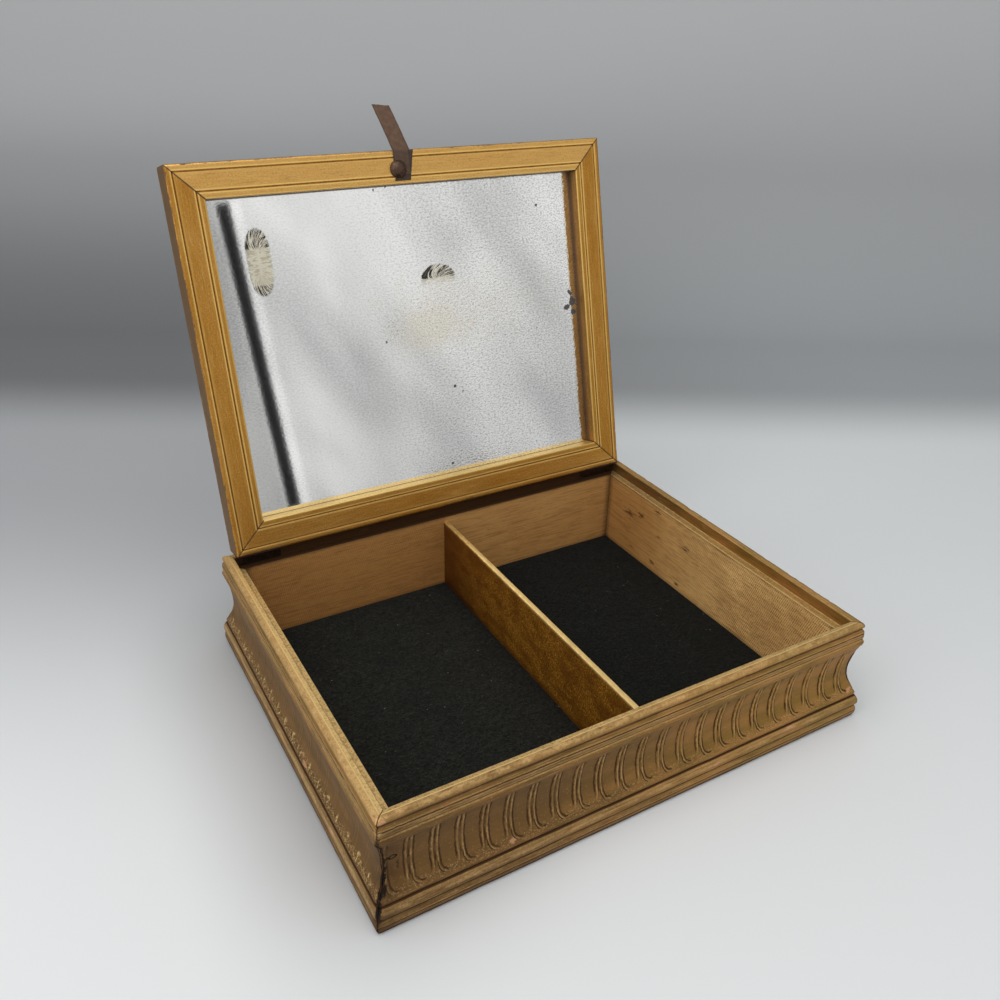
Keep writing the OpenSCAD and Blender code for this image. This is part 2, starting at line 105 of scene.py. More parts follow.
class MouldingSettings(PropertyGroup):
    plinth_out: length("Plinth", "How far the plinth stands out past the lip", 3.8)
    lip_width: length("Lip", "Width of the lip round the lid", 5.3)
    wall: length("Wall", "From the lip's outer edge to the inside face", 9.8)
    rebate: length("Rebate", "Depth of the rebate that the lid drops into", 6.8)
    bay: length("Bay", "Length of one bay of the ornament", 11.72)
    first_pair: length("First pair", "Where the first pair of ribs stands", 13.9)
    rib_gap: length("Rib gap", "Spacing of the two ribs in a pair", 2.9)
    rib_height: length("Rib height", "How far a rib stands out of the cove", 0.4)
    flute_depth: length("Flute depth", "Depth of the hollow between two pairs", 0.6)
    crust: length("Crust", "Height of the leaf crust at the cove's foot", 0.5)
    gilt: colour("Gilt", "Old bronze paint", paint(162, 118, 62))
    olive: colour("Olive", "Thin, greenish bronze paint", paint(142, 108, 48))
    # Also the colour of painted shade in the recesses, quirks and rib lines.
    grime_and_shade: colour("Grime", "Dirt in the recesses", paint(62, 36, 12))
    # Also painted shade on whole sides and towards the front's left end.
    dull: colour("Dull", "Paint gone dull and dirty", paint(106, 77, 42))
    # Also the colour of painted highlights on the rounds, ribs and crust.
    rubbed: colour("Rubbed", "Paint rubbed pale on the high parts", paint(218, 180, 120))
    # Also painted highlights along the crest's arris and on the leaf lobes.
    crest: colour("Crest", "Pale gold on the lip's inner half and the ledge", paint(232, 200, 134))
    gesso: colour("Gesso", "Pink ground where the paint is gone", paint(204, 150, 114))
    wood: colour("Wood", "Bare wood inside the box", paint(255, 208, 134))
    # Also painted shade towards the back of the right inside wall.
    wood_tone_and_shade: colour("Toned wood", "Darker stretches of the bare wood", paint(184, 134, 74))
    wood_dark: colour("Dark wood", "Grain and knots of the bare wood", paint(112, 68, 30))


class LidSettings(PropertyGroup):
    rail_width: length("Rail", "Width of a lid rail", 17.6)
    mirror_in: length("Mirror depth", "Mirror's face behind the rails' face", 8.2)
    overlap: length("Overlap", "How far the rails cover the mirror", 3.1)
    groove_in: length("Groove", "Distance of each groove from the rail's edge", 3.8)
    groove_width: length("Groove width", "Width of a groove", 1.0)
    arris: length("Arris", "Rounding of the rails' edges", 1.2)
    gilt: colour("Gilt", "Gold paint of the lid", paint(214, 166, 92))
    # Also the duller gold of the side and bottom rails, painted shade beside the lighter top rail.
    deep: colour("Deep gold", "Gold paint where it lies thick", paint(176, 122, 42))
    worn: colour("Worn", "Brown edge where the paint is gone", paint(80, 60, 38))


class MirrorSettings(PropertyGroup):
    ripple: length("Ripple", "Height of the ripple in the old glass", 0.01)
    silver: colour("Silver", "Old silvering", paint(248, 248, 246))
    # Also painted reflection, in the clouds over the silvering.
    tarnish: colour("Tarnish", "Grey clouds in the silvering", paint(198, 199, 198))
    stain: colour("Stain", "Cream stain behind the glass", paint(222, 212, 182))
    lost: colour("Lost silver", "Black where the silvering is gone", paint(38, 32, 28))


class LiningSettings(PropertyGroup):
    felt: colour("Felt", "Black felt", paint(46, 47, 43))
    lint: colour("Lint", "Lint on the felt", paint(150, 148, 140))
    divider_gilt: colour("Divider", "Gold paint of the divider", paint(172, 112, 26))
    divider_dark: colour("Divider dark", "Thin paint of the divider", paint(140, 86, 18))


class PullSettings(PropertyGroup):
    ribbon_width: length("Ribbon", "Width of the ribbon", 9.3)
    ribbon_thickness: length("Ribbon thickness", "Thickness of one layer", 0.3)
    tack_radius: length("Tack", "Radius of the tack's head", 4.75)
    tack_height: length("Tack height", "Height of the tack's dome", 2.7)
    ribbon: colour("Ribbon", "Brown corded ribbon", paint(104, 77, 58))
    iron: colour("Tack iron", "Brown iron of the tack", paint(84, 64, 50))


class StageSettings(PropertyGroup):
    lens: FloatProperty(name="Lens", description="Focal length on a 36 mm frame, in mm", default=33.53)
    floor: colour("Floor", "Pale floor", paint(218, 221, 222))
    backdrop: colour("Backdrop", "Grey backdrop", paint(162, 165, 167))
    # Painted shade on the left of the backdrop and floor.
    gloom: colour("Gloom", "Darker left part of the backdrop", paint(118, 120, 122))
    # Painted light: the backdrop paler higher up.
    backdrop_top_light: colour("Haze", "Backdrop higher up", paint(189, 190, 191))


# Numbers


def mm(group, name):
    """A length setting in millimetres."""
    return getattr(group, name) / MM


def noise(x, y, seed):
    """Smooth noise from -1 to 1 whose cells are one unit wide."""
    table = np.random.default_rng(seed).uniform(-1, 1, (128, 128))
    i, j = np.floor(x).astype(int), np.floor(y).astype(int)
    fx, fy = x - i, y - j
    fx, fy = fx * fx * (3 - 2 * fx), fy * fy * (3 - 2 * fy)
    i0, i1, j0, j1 = i % 128, (i + 1) % 128, j % 128, (j + 1) % 128
    low = table[i0, j0] * (1 - fx) + table[i1, j0] * fx
    high = table[i0, j1] * (1 - fx) + table[i1, j1] * fx
    return low * (1 - fy) + high * fy


def cloud(x, y, seed, octaves=4):
    """Noise with finer noise on it."""
    total, weight = 0, 0
    for k in range(octaves):
        total = total + noise(x * 2**k + 17.3 * k, y * 2**k - 9.1 * k, seed + k) / 1.9**k
        weight += 1 / 1.9**k
    return total / weight


def bump(x, middle, spread):
    return np.exp(-(((x - middle) / spread) ** 2))


def rise(x, low, high):
    """0 below low, 1 above high, smooth between."""
    t = np.clip((x - low) / (high - low), 0, 1)
    return t * t * (3 - 2 * t)


def arc(centre, height, radius, low, high, step=0.5):
    """Points of a round face from one height to another."""
    z = np.linspace(low, high, max(3, int(abs(high - low) / step) + 1))
    return [(centre + math.sqrt(max(0, radius**2 - (h - height) ** 2)), h) for h in z]


def dense(points, step):
    """The points with more put in, so that none lie further apart than the step."""
    made = []
    for (a, b), (c, d) in zip(points, points[1:]):
        n = max(1, math.ceil(math.hypot(c - a, d - b) / step))
        made += [(a + (c - a) * k / n, b + (d - b) * k / n) for k in range(n)]
    return made + [points[-1]]


# Meshes


def piece(name, points, faces, body, slot, replaced, materials, kinds=None, sharp=35, **marks):
    """A mesh piece from points in metres, riding on a body, with its marks kept on its points."""
    mesh = bpy.data.meshes.new(name)
    mesh.from_pydata(np.asarray(points).tolist(), [], faces)
    for mark, values in marks.items():
        values = np.asarray(values, np.float32)
        if values.ndim == 2:
            mesh.attributes.new(mark, "FLOAT_VECTOR", "POINT").data.foreach_set("vector", values.ravel())
        else:
            mesh.attributes.new(mark, "FLOAT", "POINT").data.foreach_set("value", values)
    for material in materials:
        mesh.materials.append(material)
    if kinds is not None:
        mesh.polygons.foreach_set("material_index", np.asarray(kinds, np.int32))
    mesh.polygons.foreach_set("use_smooth", np.ones(len(mesh.polygons), bool))
    mesh.validate()
    mesh.update()
    mesh.set_sharp_from_angle(angle=math.radians(sharp))
    made = bpy.data.objects.new(name, mesh)
    bpy.context.scene.collection.objects.link(made)
    if body:
        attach(made, body)
    if replaced:
        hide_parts(*replaced)
    return made


def side_place(side, half_x, half_y, middle_y=0.0):
    """Turns along, outward and up into X, Y and Z for one side of a frame."""
    def place(along, out, up):
        if side == "front":
            return np.stack([along, middle_y - half_y - out, up], -1)
        if side == "back":
            return np.stack([-along, middle_y + half_y + out, up], -1)
        if side == "left":
            return np.stack([-half_x - out, middle_y - along, up], -1)
        return np.stack([half_x + out, middle_y + along, up], -1)
    return place


def swung(points):
    """Moves points in mm from where the closed lid has them to where the open lid does."""
    axis = np.array(HINGE["pos_m"]) / MM
    c, s = math.cos(-SWING), math.sin(-SWING)
    p = np.asarray(points, float) - axis
    return np.stack([p[..., 0], p[..., 1] * c - p[..., 2] * s, p[..., 1] * s + p[..., 2] * c], -1) + axis


# Finishes


class Nodes:
    """Short ways to add and join the nodes of a tree."""

    def __init__(self, tree):
        self.tree = tree
        tree.nodes.clear()

    def add(self, kind, settings=None, **sockets):
        made = self.tree.nodes.new(kind)
        for name, value in (settings or {}).items():
            setattr(made, name, value)
        for name, value in sockets.items():
            name = name.replace("_", " ") if name.replace("_", " ") in made.inputs else name
            self.put(made.inputs[int(name[1:]) if name[0] == "i" and name[1:].isdigit() else name], value)
        return made

    def put(self, socket, value):
        if isinstance(value, bpy.types.NodeSocket):
            self.tree.links.new(value, socket)
        else:
            socket.default_value = value

    def mark(self, name, vector=False):
        return self.add("ShaderNodeAttribute", {"attribute_name": name}).outputs["Vector" if vector else "Fac"]

    def place(self):
        """The point's own place in metres, at rest."""
        return self.add("ShaderNodeTexCoord").outputs["Object"]

    def scaled(self, vector, x, y, z, turn=(0, 0, 0), move=(0, 0, 0)):
        return self.add("ShaderNodeMapping", Vector=vector, Scale=(x, y, z), Rotation=turn, Location=move).outputs[0]

    def noise(self, vector, scale=1.0, detail=3.0, roughness=0.55, distortion=0.0):
        made = self.add(
            "ShaderNodeTexNoise", Vector=vector, Scale=scale, Detail=detail, Roughness=roughness,
            Distortion=distortion,
        )
        return made.outputs[0]

    def cells(self, vector, scale=1.0, feature="F1", randomness=1.0):
        made = self.add(
            "ShaderNodeTexVoronoi", {"feature": feature}, Vector=vector, Scale=scale, Randomness=randomness
        )
        return made.outputs["Distance"]

    def math(self, operation, a, b=0.0, clamp=False):
        return self.add("ShaderNodeMath", {"operation": operation, "use_clamp": clamp}, i0=a, i1=b).outputs[0]

    def span(self, value, low, high, to_low=0.0, to_high=1.0):
        """Takes low to high onto to_low to to_high, smoothly and no further."""
        made = self.add(
            "ShaderNodeMapRange", {"interpolation_type": "SMOOTHSTEP"}, Value=value, i1=low, i2=high,
            i3=to_low, i4=to_high,
        )
        return made.outputs[0]

    def mix(self, share, a, b, how="MIX"):
        made = self.add("ShaderNodeMix", {"data_type": "RGBA", "blend_type": how})
        self.put(made.inputs[0], share)
        self.put(made.inputs[6], a)
        self.put(made.inputs[7], b)
        return made.outputs[2]

    def join(self, operation, *values):
        """Takes several values into one sum, product or the like."""
        made = values[0]
        for value in values[1:]:
            made = self.math(operation, made, value)
        return made

    def near(self, value, place, half):
        """1 at a place, and 0 from half the width away."""
        return self.span(self.math("ABSOLUTE", self.math("SUBTRACT", value, place)), half, 0.35 * half)

    def bump(self, height, distance, strength=1.0, normal=None):
        made = self.add("ShaderNodeBump", Height=height, Distance=distance, Strength=strength)
        if normal is not None:
            self.put(made.inputs["Normal"], normal)
        return made.outputs[0]

    def xyz(self, vector):
        return self.add("ShaderNodeSeparateXYZ", Vector=vector).outputs


class Finish(Nodes):
    """A material with its own node tree and one principled surface."""

    def __init__(self, name, **sockets):
        self.material = bpy.data.materials.new(name)
        self.material.use_nodes = True
        super().__init__(self.material.node_tree)
        self.surface = self.add("ShaderNodeBsdfPrincipled", **sockets)
        end = self.tree.nodes.new("ShaderNodeOutputMaterial")
        self.tree.links.new(self.surface.outputs[0], end.inputs[0])


# Lines that run along the whole moulding: height, half width and strength, in mm. The dark lines are painted shade in
# the quirks, in the hollow under the crest and along the bottom edge; the light lines are painted highlights on the
# rounds and fillets.
SHADE_LINES = ((0.9, 2.2, 0.9), (4.2, 0.4, 0.9), (7.4, 0.38, 0.85), (8.4, 0.4, 0.9), (13.95, 0.52, 1.0),
              (50.5, 0.5, 1.1), (52.1, 0.28, 0.4), (53.6, 0.42, 1.0), (56.7, 1.3, 0.75))
HIGHLIGHT_LINES = ((4.8, 0.4, 0.35), (7.9, 0.3, 0.5), (13.0, 0.7, 0.3), (49.8, 0.5, 0.45), (51.3, 0.45, 0.3),
               (53.0, 0.4, 0.3), (54.4, 0.5, 0.3), (58.8, 1.0, 0.3))


def long_lines(f, level, lines, outer):
    found = f.join("MAXIMUM", *(f.math("MULTIPLY", f.near(level, z, half), strong) for z, half, strong in lines))
    return f.math("MULTIPLY", found, outer)


def rib_lines(f, at, bay, up, sway):
    """Dark lines in the ribs' grooves, painted soft shade beside them and painted highlights along the ribs."""
    _, d, shown = f.xyz(bay)
    drawn = f.math("ADD", d, sway)
    ink = [f.span(f.noise(f.scaled(at, 0.13, 0.2, 0.16, move=(0, 0, 7 * k)), 1.0, 3), 0.36, 0.6, 0.35, 1.0)
           for k in (0, 1)]
    inner = f.join("MULTIPLY", f.near(drawn, -0.8, 0.46), ink[0])
    middle = f.join("MULTIPLY", f.near(drawn, 1.42, 0.44), ink[1], f.span(up, 19.5, 24))
    foot = f.join("MULTIPLY", f.near(drawn, 0.8, 0.36), f.span(up, 24.5, 21.5))
    dark = f.join("MULTIPLY", f.join("MAXIMUM", inner, middle, foot), shown)
    # Painted shade inside each flute along its edges, and painted highlight along the ribs.
    shade = f.join("MULTIPLY", f.near(drawn, -1.4, 2.2), shown, 0.2)
    ridge_highlight = f.join("MULTIPLY", f.near(drawn, 0.25, 0.62), shown, ink[1])
    return dark, shade, ridge_highlight


def foot_leaves(f, at, bay, out, up, leaf, uneven, sway):
    """Leaves at the cove's foot: painted highlights on the light grains and the pale lobed strokes, and dark pits."""
    t, d, _ = f.xyz(bay)
    foot = f.join("MULTIPLY", f.near(up, 18.2, 3.4), f.span(out, 0.0, 0.3), leaf)
    dots = f.cells(f.scaled(at, 1.0, 1.0, 1.25), 1.0)
    grain = f.join("MULTIPLY", f.span(f.join("ADD", dots, f.math("MULTIPLY", uneven, 0.7)), 0.46, 0.2), foot)
    pit = f.join("MULTIPLY", f.span(f.join("ADD", dots, f.math("MULTIPLY", uneven, 0.9)), 0.55, 0.85), foot)
    high = f.math("SUBTRACT", up, 15.2)
    turn = f.math("ADD", f.math("ARCTAN2", t, high), f.math("MULTIPLY", f.math("ADD", sway, uneven), 1.0))
    reach = f.math("POWER", f.math("ADD", f.math("POWER", t, 2.0), f.math("POWER", high, 2.0)), 0.5)
    lobe_glints = f.join(
        "MULTIPLY", f.span(f.math("COSINE", f.math("MULTIPLY", turn, 6.6)), 0.3, 0.8), f.span(reach, 6.6, 4.8),
        f.span(reach, 0.8, 1.8), f.span(up, 15.0, 15.8), f.span(d, 1.4, 0.6), f.span(leaf, 0.55, 0.9),
        f.span(f.noise(f.scaled(at, 0.5, 0.9, 0.35), 1.0, 3, 0.7), 0.4, 0.6, 0.1, 1.0),
    )
    return grain, pit, lobe_glints


def corner_crack(f, at, edge, x, up, level, uneven):
    """Ragged crack at the open mitre, with a dark loop beside it on the front."""
    ragged = f.math("ADD", edge, f.math("MULTIPLY", f.math("SUBTRACT", f.noise(at, 0.34, 4, 0.7), 0.5), 4.6))
    split = f.join("MULTIPLY", f.span(ragged, 1.8, 1.0), f.span(up, 4, 12, 0.35, 1), f.span(up, 53, 47))
    across = f.math("DIVIDE", f.math("SUBTRACT", edge, 4.6), 1.6)
    loop = f.join("ADD", f.math("POWER", across, 2.0), f.math("POWER", f.math("SUBTRACT", level, 34.6), 2.0))
    loop = f.near(f.math("POWER", loop, 0.5), 1.0, 0.5)
    loop = f.join("MAXIMUM", loop, f.join("MULTIPLY", f.near(level, 35.2, 0.6), f.span(edge, 3.6, 3.0)))
    blot = f.join("MULTIPLY", f.near(f.math("ADD", edge, uneven), 1.9, 1.6), f.near(level, 20.5, 3.6))
    twig = f.join("MULTIPLY", f.near(f.math("ADD", edge, f.math("MULTIPLY", uneven, 3.0)), 6.6, 0.7),
                  f.near(level, 29.0, 3.2), 0.6)
    front = f.join("MULTIPLY", f.join("MAXIMUM", loop, blot, twig), f.span(x, -119, -121), f.span(x, -136, -135))
    return f.join("MAXIMUM", split, f.join("MULTIPLY", front, f.span(uneven, -0.2, 0.0)))


def moulding_gilt(s):
    """Old bronze paint on gesso: fine drawn lines in the ornament, recesses darkened by soiling and by painted shade,
    high parts rubbed pale and given painted highlights.
    """
    f = Finish("aged_gilt_moulding", IOR=1.5, Specular_IOR_Level=0.25)
    at, bay = f.mark("stick", vector=True), f.mark("bay", vector=True)
    recess, rub, wear, edge, leaf, gold, tone = (
        f.mark(n) for n in ("recess", "rub", "wear", "edge", "leaf", "gold", "tone"))
    x, out, up = f.xyz(at)
    broad = f.noise(f.scaled(at, 0.03, 0.12, 0.12), 1.0, 3)
    fine = f.noise(at, 0.95, 5, 0.75)
    uneven = f.math("SUBTRACT", fine, 0.5)
    flat = f.join("SUBTRACT", 1.0, f.join("MULTIPLY", f.span(up, 15.5, 17), f.span(up, 46.5, 45), 0.85))
    streak = f.noise(f.scaled(at, 0.07, 1.9, 1.9), 1.0, 4, 0.65)
    sway = f.math("MULTIPLY", f.math("SUBTRACT", f.noise(at, 0.45, 2), 0.5), 1.0)
    level = f.math("ADD", up, f.math("MULTIPLY", sway, 0.2))
    outer = f.span(out, -4.9, -4.7)
    # Painted shade lines and painted highlight lines along the moulding.
    shade_line, highlight_line = (long_lines(f, level, lines, outer) for lines in (SHADE_LINES, HIGHLIGHT_LINES))
    lines, shade, ridge_highlight = rib_lines(f, at, bay, up, sway)
    grain, pit, lobe_glints = foot_leaves(f, at, bay, out, up, leaf, uneven, sway)
    split = corner_crack(f, at, edge, x, up, level, uneven)

    base = f.mix(f.span(broad, 0.38, 0.62), s.gilt, s.olive)
    # The tone mark darkens whole sides and the front's left end: painted shade with some soiling.
    dulled_and_shaded = f.join("ADD", tone, f.math("MULTIPLY", f.math("SUBTRACT", broad, 0.5), 0.8))
    base = f.mix(f.math("MULTIPLY", f.span(dulled_and_shaded, 0.0, 1.0), 0.9), base, s.dull)
    base = f.mix(f.join("MULTIPLY", f.span(streak, 0.5, 0.7, 0, 0.5), flat), base, s.grime_and_shade)
    base = f.mix(f.join("MULTIPLY", f.span(streak, 0.28, 0.46, 0.45, 0), flat), base, s.rubbed)
    base = f.mix(f.span(fine, 0.56, 0.7, 0, 0.3), base, s.rubbed)
    # Rubbed paint, with painted highlights on the light lines, the ribs and the crust's grains.
    pale = f.join("MAXIMUM", rub, highlight_line, f.math("MULTIPLY", ridge_highlight, 0.6), f.math("MULTIPLY", grain, 0.8))
    base = f.mix(f.join("MULTIPLY", pale, f.span(fine, 0.32, 0.6, 0.35, 1.0), 0.9), base, s.rubbed)
    # Painted glints on the leaf lobes, pale gold on the lip and ledge, and a painted highlight along the crest's arris.
    bright = f.join("MAXIMUM", lobe_glints, f.join("MULTIPLY", gold, f.span(fine, 0.36, 0.58, 0.2, 1.0)))
    arris = f.join("MULTIPLY", f.near(out, -2.9, 0.45), f.span(up, 59.6, 59.8), f.span(gold, 0.0, 0.5))
    base = f.mix(f.join("MAXIMUM", bright, arris), base, s.crest)
    bare = f.join("MULTIPLY", f.span(f.join("ADD", wear, f.math("MULTIPLY", uneven, 1.8)), 0.45, 0.62),
                  f.span(wear, 0.08, 0.35))
    base = f.mix(f.math("MULTIPLY", bare, 0.7), base, s.gesso)
    # Soiling and painted shade: the recess mark, the shade beside the ribs, the rib lines, the pits and the dark lines
    # along the moulding.
    dirt_and_shade = f.join("ADD", recess, shade, f.math("MULTIPLY", lines, 1.05), f.math("MULTIPLY", pit, 0.45), shade_line,
                  f.math("MULTIPLY", uneven, 0.8))
    dirt_and_shade = f.span(dirt_and_shade, 0.12, 0.95, 0, 0.92)
    # Darker near the open mitre: soiling with painted shade.
    soot_and_shade = f.join("MULTIPLY", f.span(edge, 18, 0, 0, 0.6), f.span(f.noise(at, 0.2, 3), 0.35, 0.65, 0.4, 1),
                  f.span(up, 56, 50))
    base = f.mix(f.join("MAXIMUM", soot_and_shade, dirt_and_shade), base, s.grime_and_shade)
    base = f.mix(split, base, paint(22, 10, 3))
    f.put(f.surface.inputs["Base Color"], base)
    dull = f.join("MAXIMUM", dirt_and_shade, bare, split)
    f.put(f.surface.inputs["Metallic"], f.math("MULTIPLY", f.math("SUBTRACT", 1.0, dull, True), 0.55))
    f.put(f.surface.inputs["Roughness"],
          f.join("ADD", 0.44, f.math("MULTIPLY", dull, 0.36), f.math("MULTIPLY", fine, 0.14)))
    raised = f.join("ADD", f.math("MULTIPLY", ridge_highlight, 0.5), f.math("MULTIPLY", grain, 0.5), f.math("MULTIPLY", lobe_glints, 0.9))
    sunk = f.join("ADD", f.math("MULTIPLY", lines, 0.8), f.math("MULTIPLY", pit, 0.4), f.math("MULTIPLY", split, 1.5))
    height = f.join("ADD", f.math("MULTIPLY", fine, 0.5), f.join("MULTIPLY", streak, flat, 0.35),
                    f.math("MULTIPLY", f.math("SUBTRACT", raised, sunk), 0.8))
    f.put(f.surface.inputs["Normal"], f.bump(height, 0.0003, 1.0))
    return f.material


def inner_wood(s):
    """Bare wood inside the box with machine ribs, grain, pores and knots, painted light along the right wall's front
    and painted shade in the corners and along the foot.
    """
    f = Finish("ribbed_inner_wood", IOR=1.45)
    at = f.mark("stick", vector=True)
    knot, rib_share, shade, tone = f.mark("wear"), f.mark("rub"), f.mark("recess"), f.mark("tone")
    x, _, z = f.xyz(at)
    lean = f.math("ADD", x, f.math("MULTIPLY", z, 0.35))
    wobble = f.math("MULTIPLY", f.noise(at, 0.25, 2), 0.6)
    ribs = f.math("SINE", f.math("MULTIPLY", f.math("ADD", lean, wobble), 2 * math.pi / 1.25))
    ribs = f.math("ADD", f.math("MULTIPLY", ribs, 0.5), 0.5)
    grain = f.noise(f.scaled(at, 0.05, 0.9, 0.9), 1.0, 5, 0.7, 0.5)
    weave = f.noise(f.scaled(at, 0.35, 1.7, 1.7), 1.0, 2, 0.6)
    pores = f.noise(f.scaled(at, 0.22, 1.5, 1.5), 1.0, 4, 0.8)
    patch = f.noise(at, 0.05, 3)
    base = f.mix(f.span(patch, 0.4, 0.62, 0.0, 0.35), s.wood, s.wood_tone_and_shade)
    # Tone, partly painted light: the right wall lighter towards its front.
    base = f.mix(tone, base, s.wood_tone_and_shade)
    base = f.mix(f.span(grain, 0.44, 0.68, 0, 0.48), base, s.wood_dark)
    base = f.mix(f.span(pores, 0.56, 0.68, 0, 0.5), base, s.wood_dark)
    trough = f.math("MULTIPLY", f.math("SUBTRACT", 1.0, ribs), f.span(weave, 0.3, 0.6, 0.45, 1.0))
    base = f.mix(f.join("MULTIPLY", f.math("POWER", trough, 2.6), rib_share, 0.9), base, s.wood_dark)
    streaky = f.noise(f.scaled(at, 0.16, 1.1, 1.1, turn=(0, 0.2, 0)), 1.0, 3, 0.7)
    stained = f.math("ADD", knot, f.math("MULTIPLY", f.math("SUBTRACT", streaky, 0.5), 3.4))
    stained = f.math("MULTIPLY", f.span(stained, 0.55, 0.95, 0, 0.85), f.span(knot, 0.06, 0.3))
    base = f.mix(stained, base, paint(60, 32, 12))
    # Painted shade in the corners, along the foot and under the ledge.
    base = f.mix(f.math("MULTIPLY", shade, 0.9), base, paint(56, 34, 16))
    f.put(f.surface.inputs["Base Color"], base)
    f.put(f.surface.inputs["Roughness"], f.span(grain, 0.3, 0.7, 0.5, 0.66))
    height = f.math("ADD", f.join("MULTIPLY", ribs, rib_share, 1.2), f.math("MULTIPLY", grain, 0.6))
    f.put(f.surface.inputs["Normal"], f.bump(height, 0.00016, 0.8))
    return f.material


def lid_gilt(s):
    """Brighter gold paint, brushed along each rail, brown in the grooves and on the worn edges; painted highlights
    beside the grooves and on the bottom rail's sight edge, painted light on the top rail and painted shade on the sight
    edges of the right and top rails.
    """
    f = Finish("brushed_gilt_lid", IOR=1.5)
    at = f.mark("stick", vector=True)
    recess, rub, wear = f.mark("recess"), f.mark("rub"), f.mark("wear")
    _, out, up = f.xyz(at)
    on_face = f.span(up, 55.2, 54.9)
    rail, groove = mm(s, "rail_width"), mm(s, "groove_in")
    beside = [f.near(out, middle, 0.5) for middle in (0.85 - groove, groove - rail + 0.85, groove - rail - 0.85)]
    ridge_highlight = f.join("MULTIPLY", f.join("MAXIMUM", *beside), on_face)
    brushed = f.noise(f.scaled(at, 0.08, 1.5, 1.5), 1.0, 4, 0.75)
    patch = f.noise(f.scaled(at, 0.02, 0.12, 0.12), 1.0, 3)
    fine = f.noise(at, 1.15, 4, 0.8)
    # The tone mark makes the top rail lighter than the others: painted light.
    tone = f.math("ADD", f.mark("tone"), f.math("MULTIPLY", f.math("SUBTRACT", patch, 0.5), 0.9), True)
    base = f.mix(tone, s.deep, s.gilt)
    base = f.mix(f.span(brushed, 0.5, 0.7, 0, 0.26), base, s.worn)
    base = f.mix(f.span(fine, 0.52, 0.64, 0, 0.5), base, paint(128, 84, 30))
    base = f.mix(f.span(fine, 0.34, 0.44, 0.4, 0), base, paint(240, 202, 130))
    base = f.mix(f.span(brushed, 0.3, 0.46, 0.34, 0), base, paint(232, 192, 116))
    # Painted highlights beside the grooves and on the bottom rail's sight edge.
    rubbed = f.math("MAXIMUM", rub, f.math("MULTIPLY", ridge_highlight, 0.62))
    base = f.mix(f.math("MULTIPLY", rubbed, f.span(fine, 0.3, 0.6, 0.4, 1.0)), base, paint(255, 222, 134))
    gone = f.span(f.math("ADD", wear, f.math("MULTIPLY", f.math("SUBTRACT", fine, 0.5), 0.8)), 0.4, 0.75, 0, 0.85)
    base = f.mix(gone, base, s.worn)
    # Soiling and painted shade: in the grooves, at the joints and on the sight edges of the right and top rails.
    dirt_and_shade = f.span(f.math("ADD", recess, f.math("MULTIPLY", f.math("SUBTRACT", fine, 0.5), 0.3)), 0.2, 0.95, 0, 0.92)
    base = f.mix(dirt_and_shade, base, paint(78, 46, 12))
    f.put(f.surface.inputs["Base Color"], base)
    clean = f.math("SUBTRACT", 1.0, f.math("MAXIMUM", dirt_and_shade, gone), True)
    f.put(f.surface.inputs["Metallic"], f.math("MULTIPLY", clean, 0.85))
    rough = f.math("ADD", f.span(brushed, 0.3, 0.7, 0.33, 0.43), f.math("MULTIPLY", f.math("MAXIMUM", dirt_and_shade, gone), 0.3))
    f.put(f.surface.inputs["Roughness"], rough)
    height = f.math("ADD", f.math("MULTIPLY", brushed, 0.6), f.math("MULTIPLY", fine, 0.5))
    f.put(f.surface.inputs["Normal"], f.bump(height, 0.0001, 0.8))
    return f.material


def divider_gilt(s):
    """Dark gold paint, finely speckled, rubbed to a paler gold in places, with a painted highlight along the top edge
    and painted shade towards the back and the foot.
    """
    f = Finish("speckled_gilt_divider", IOR=1.5)
    at = f.mark("stick", vector=True)
    edge, shade = f.mark("rub"), f.mark("recess")
    patch = f.noise(f.scaled(at, 0.06, 0.1, 0.1), 1.0, 4, 0.6)
    fine = f.noise(at, 0.9, 4, 0.8)
    speck = f.noise(at, 1.5, 3, 0.8)
    base = f.mix(f.span(patch, 0.35, 0.65), s.divider_dark, s.divider_gilt)
    mottled = f.math("MULTIPLY", f.span(fine, 0.5, 0.6), f.span(patch, 0.38, 0.6, 0.35, 1.0))
    base = f.mix(f.math("MULTIPLY", mottled, 0.95), base, paint(236, 178, 76))
    base = f.mix(f.span(speck, 0.52, 0.62, 0, 0.75), base, paint(84, 44, 4))
    # Painted highlight along the top edge, then painted shade.
    base = f.mix(edge, base, paint(240, 208, 136))
    base = f.mix(shade, base, paint(88, 46, 12))
    f.put(f.surface.inputs["Base Color"], base)
    f.surface.inputs["Metallic"].default_value = 0.6
    f.put(f.surface.inputs["Roughness"], f.span(fine, 0.3, 0.7, 0.38, 0.54))
    f.put(f.surface.inputs["Normal"], f.bump(fine, 0.0001, 0.7))
    return f.material


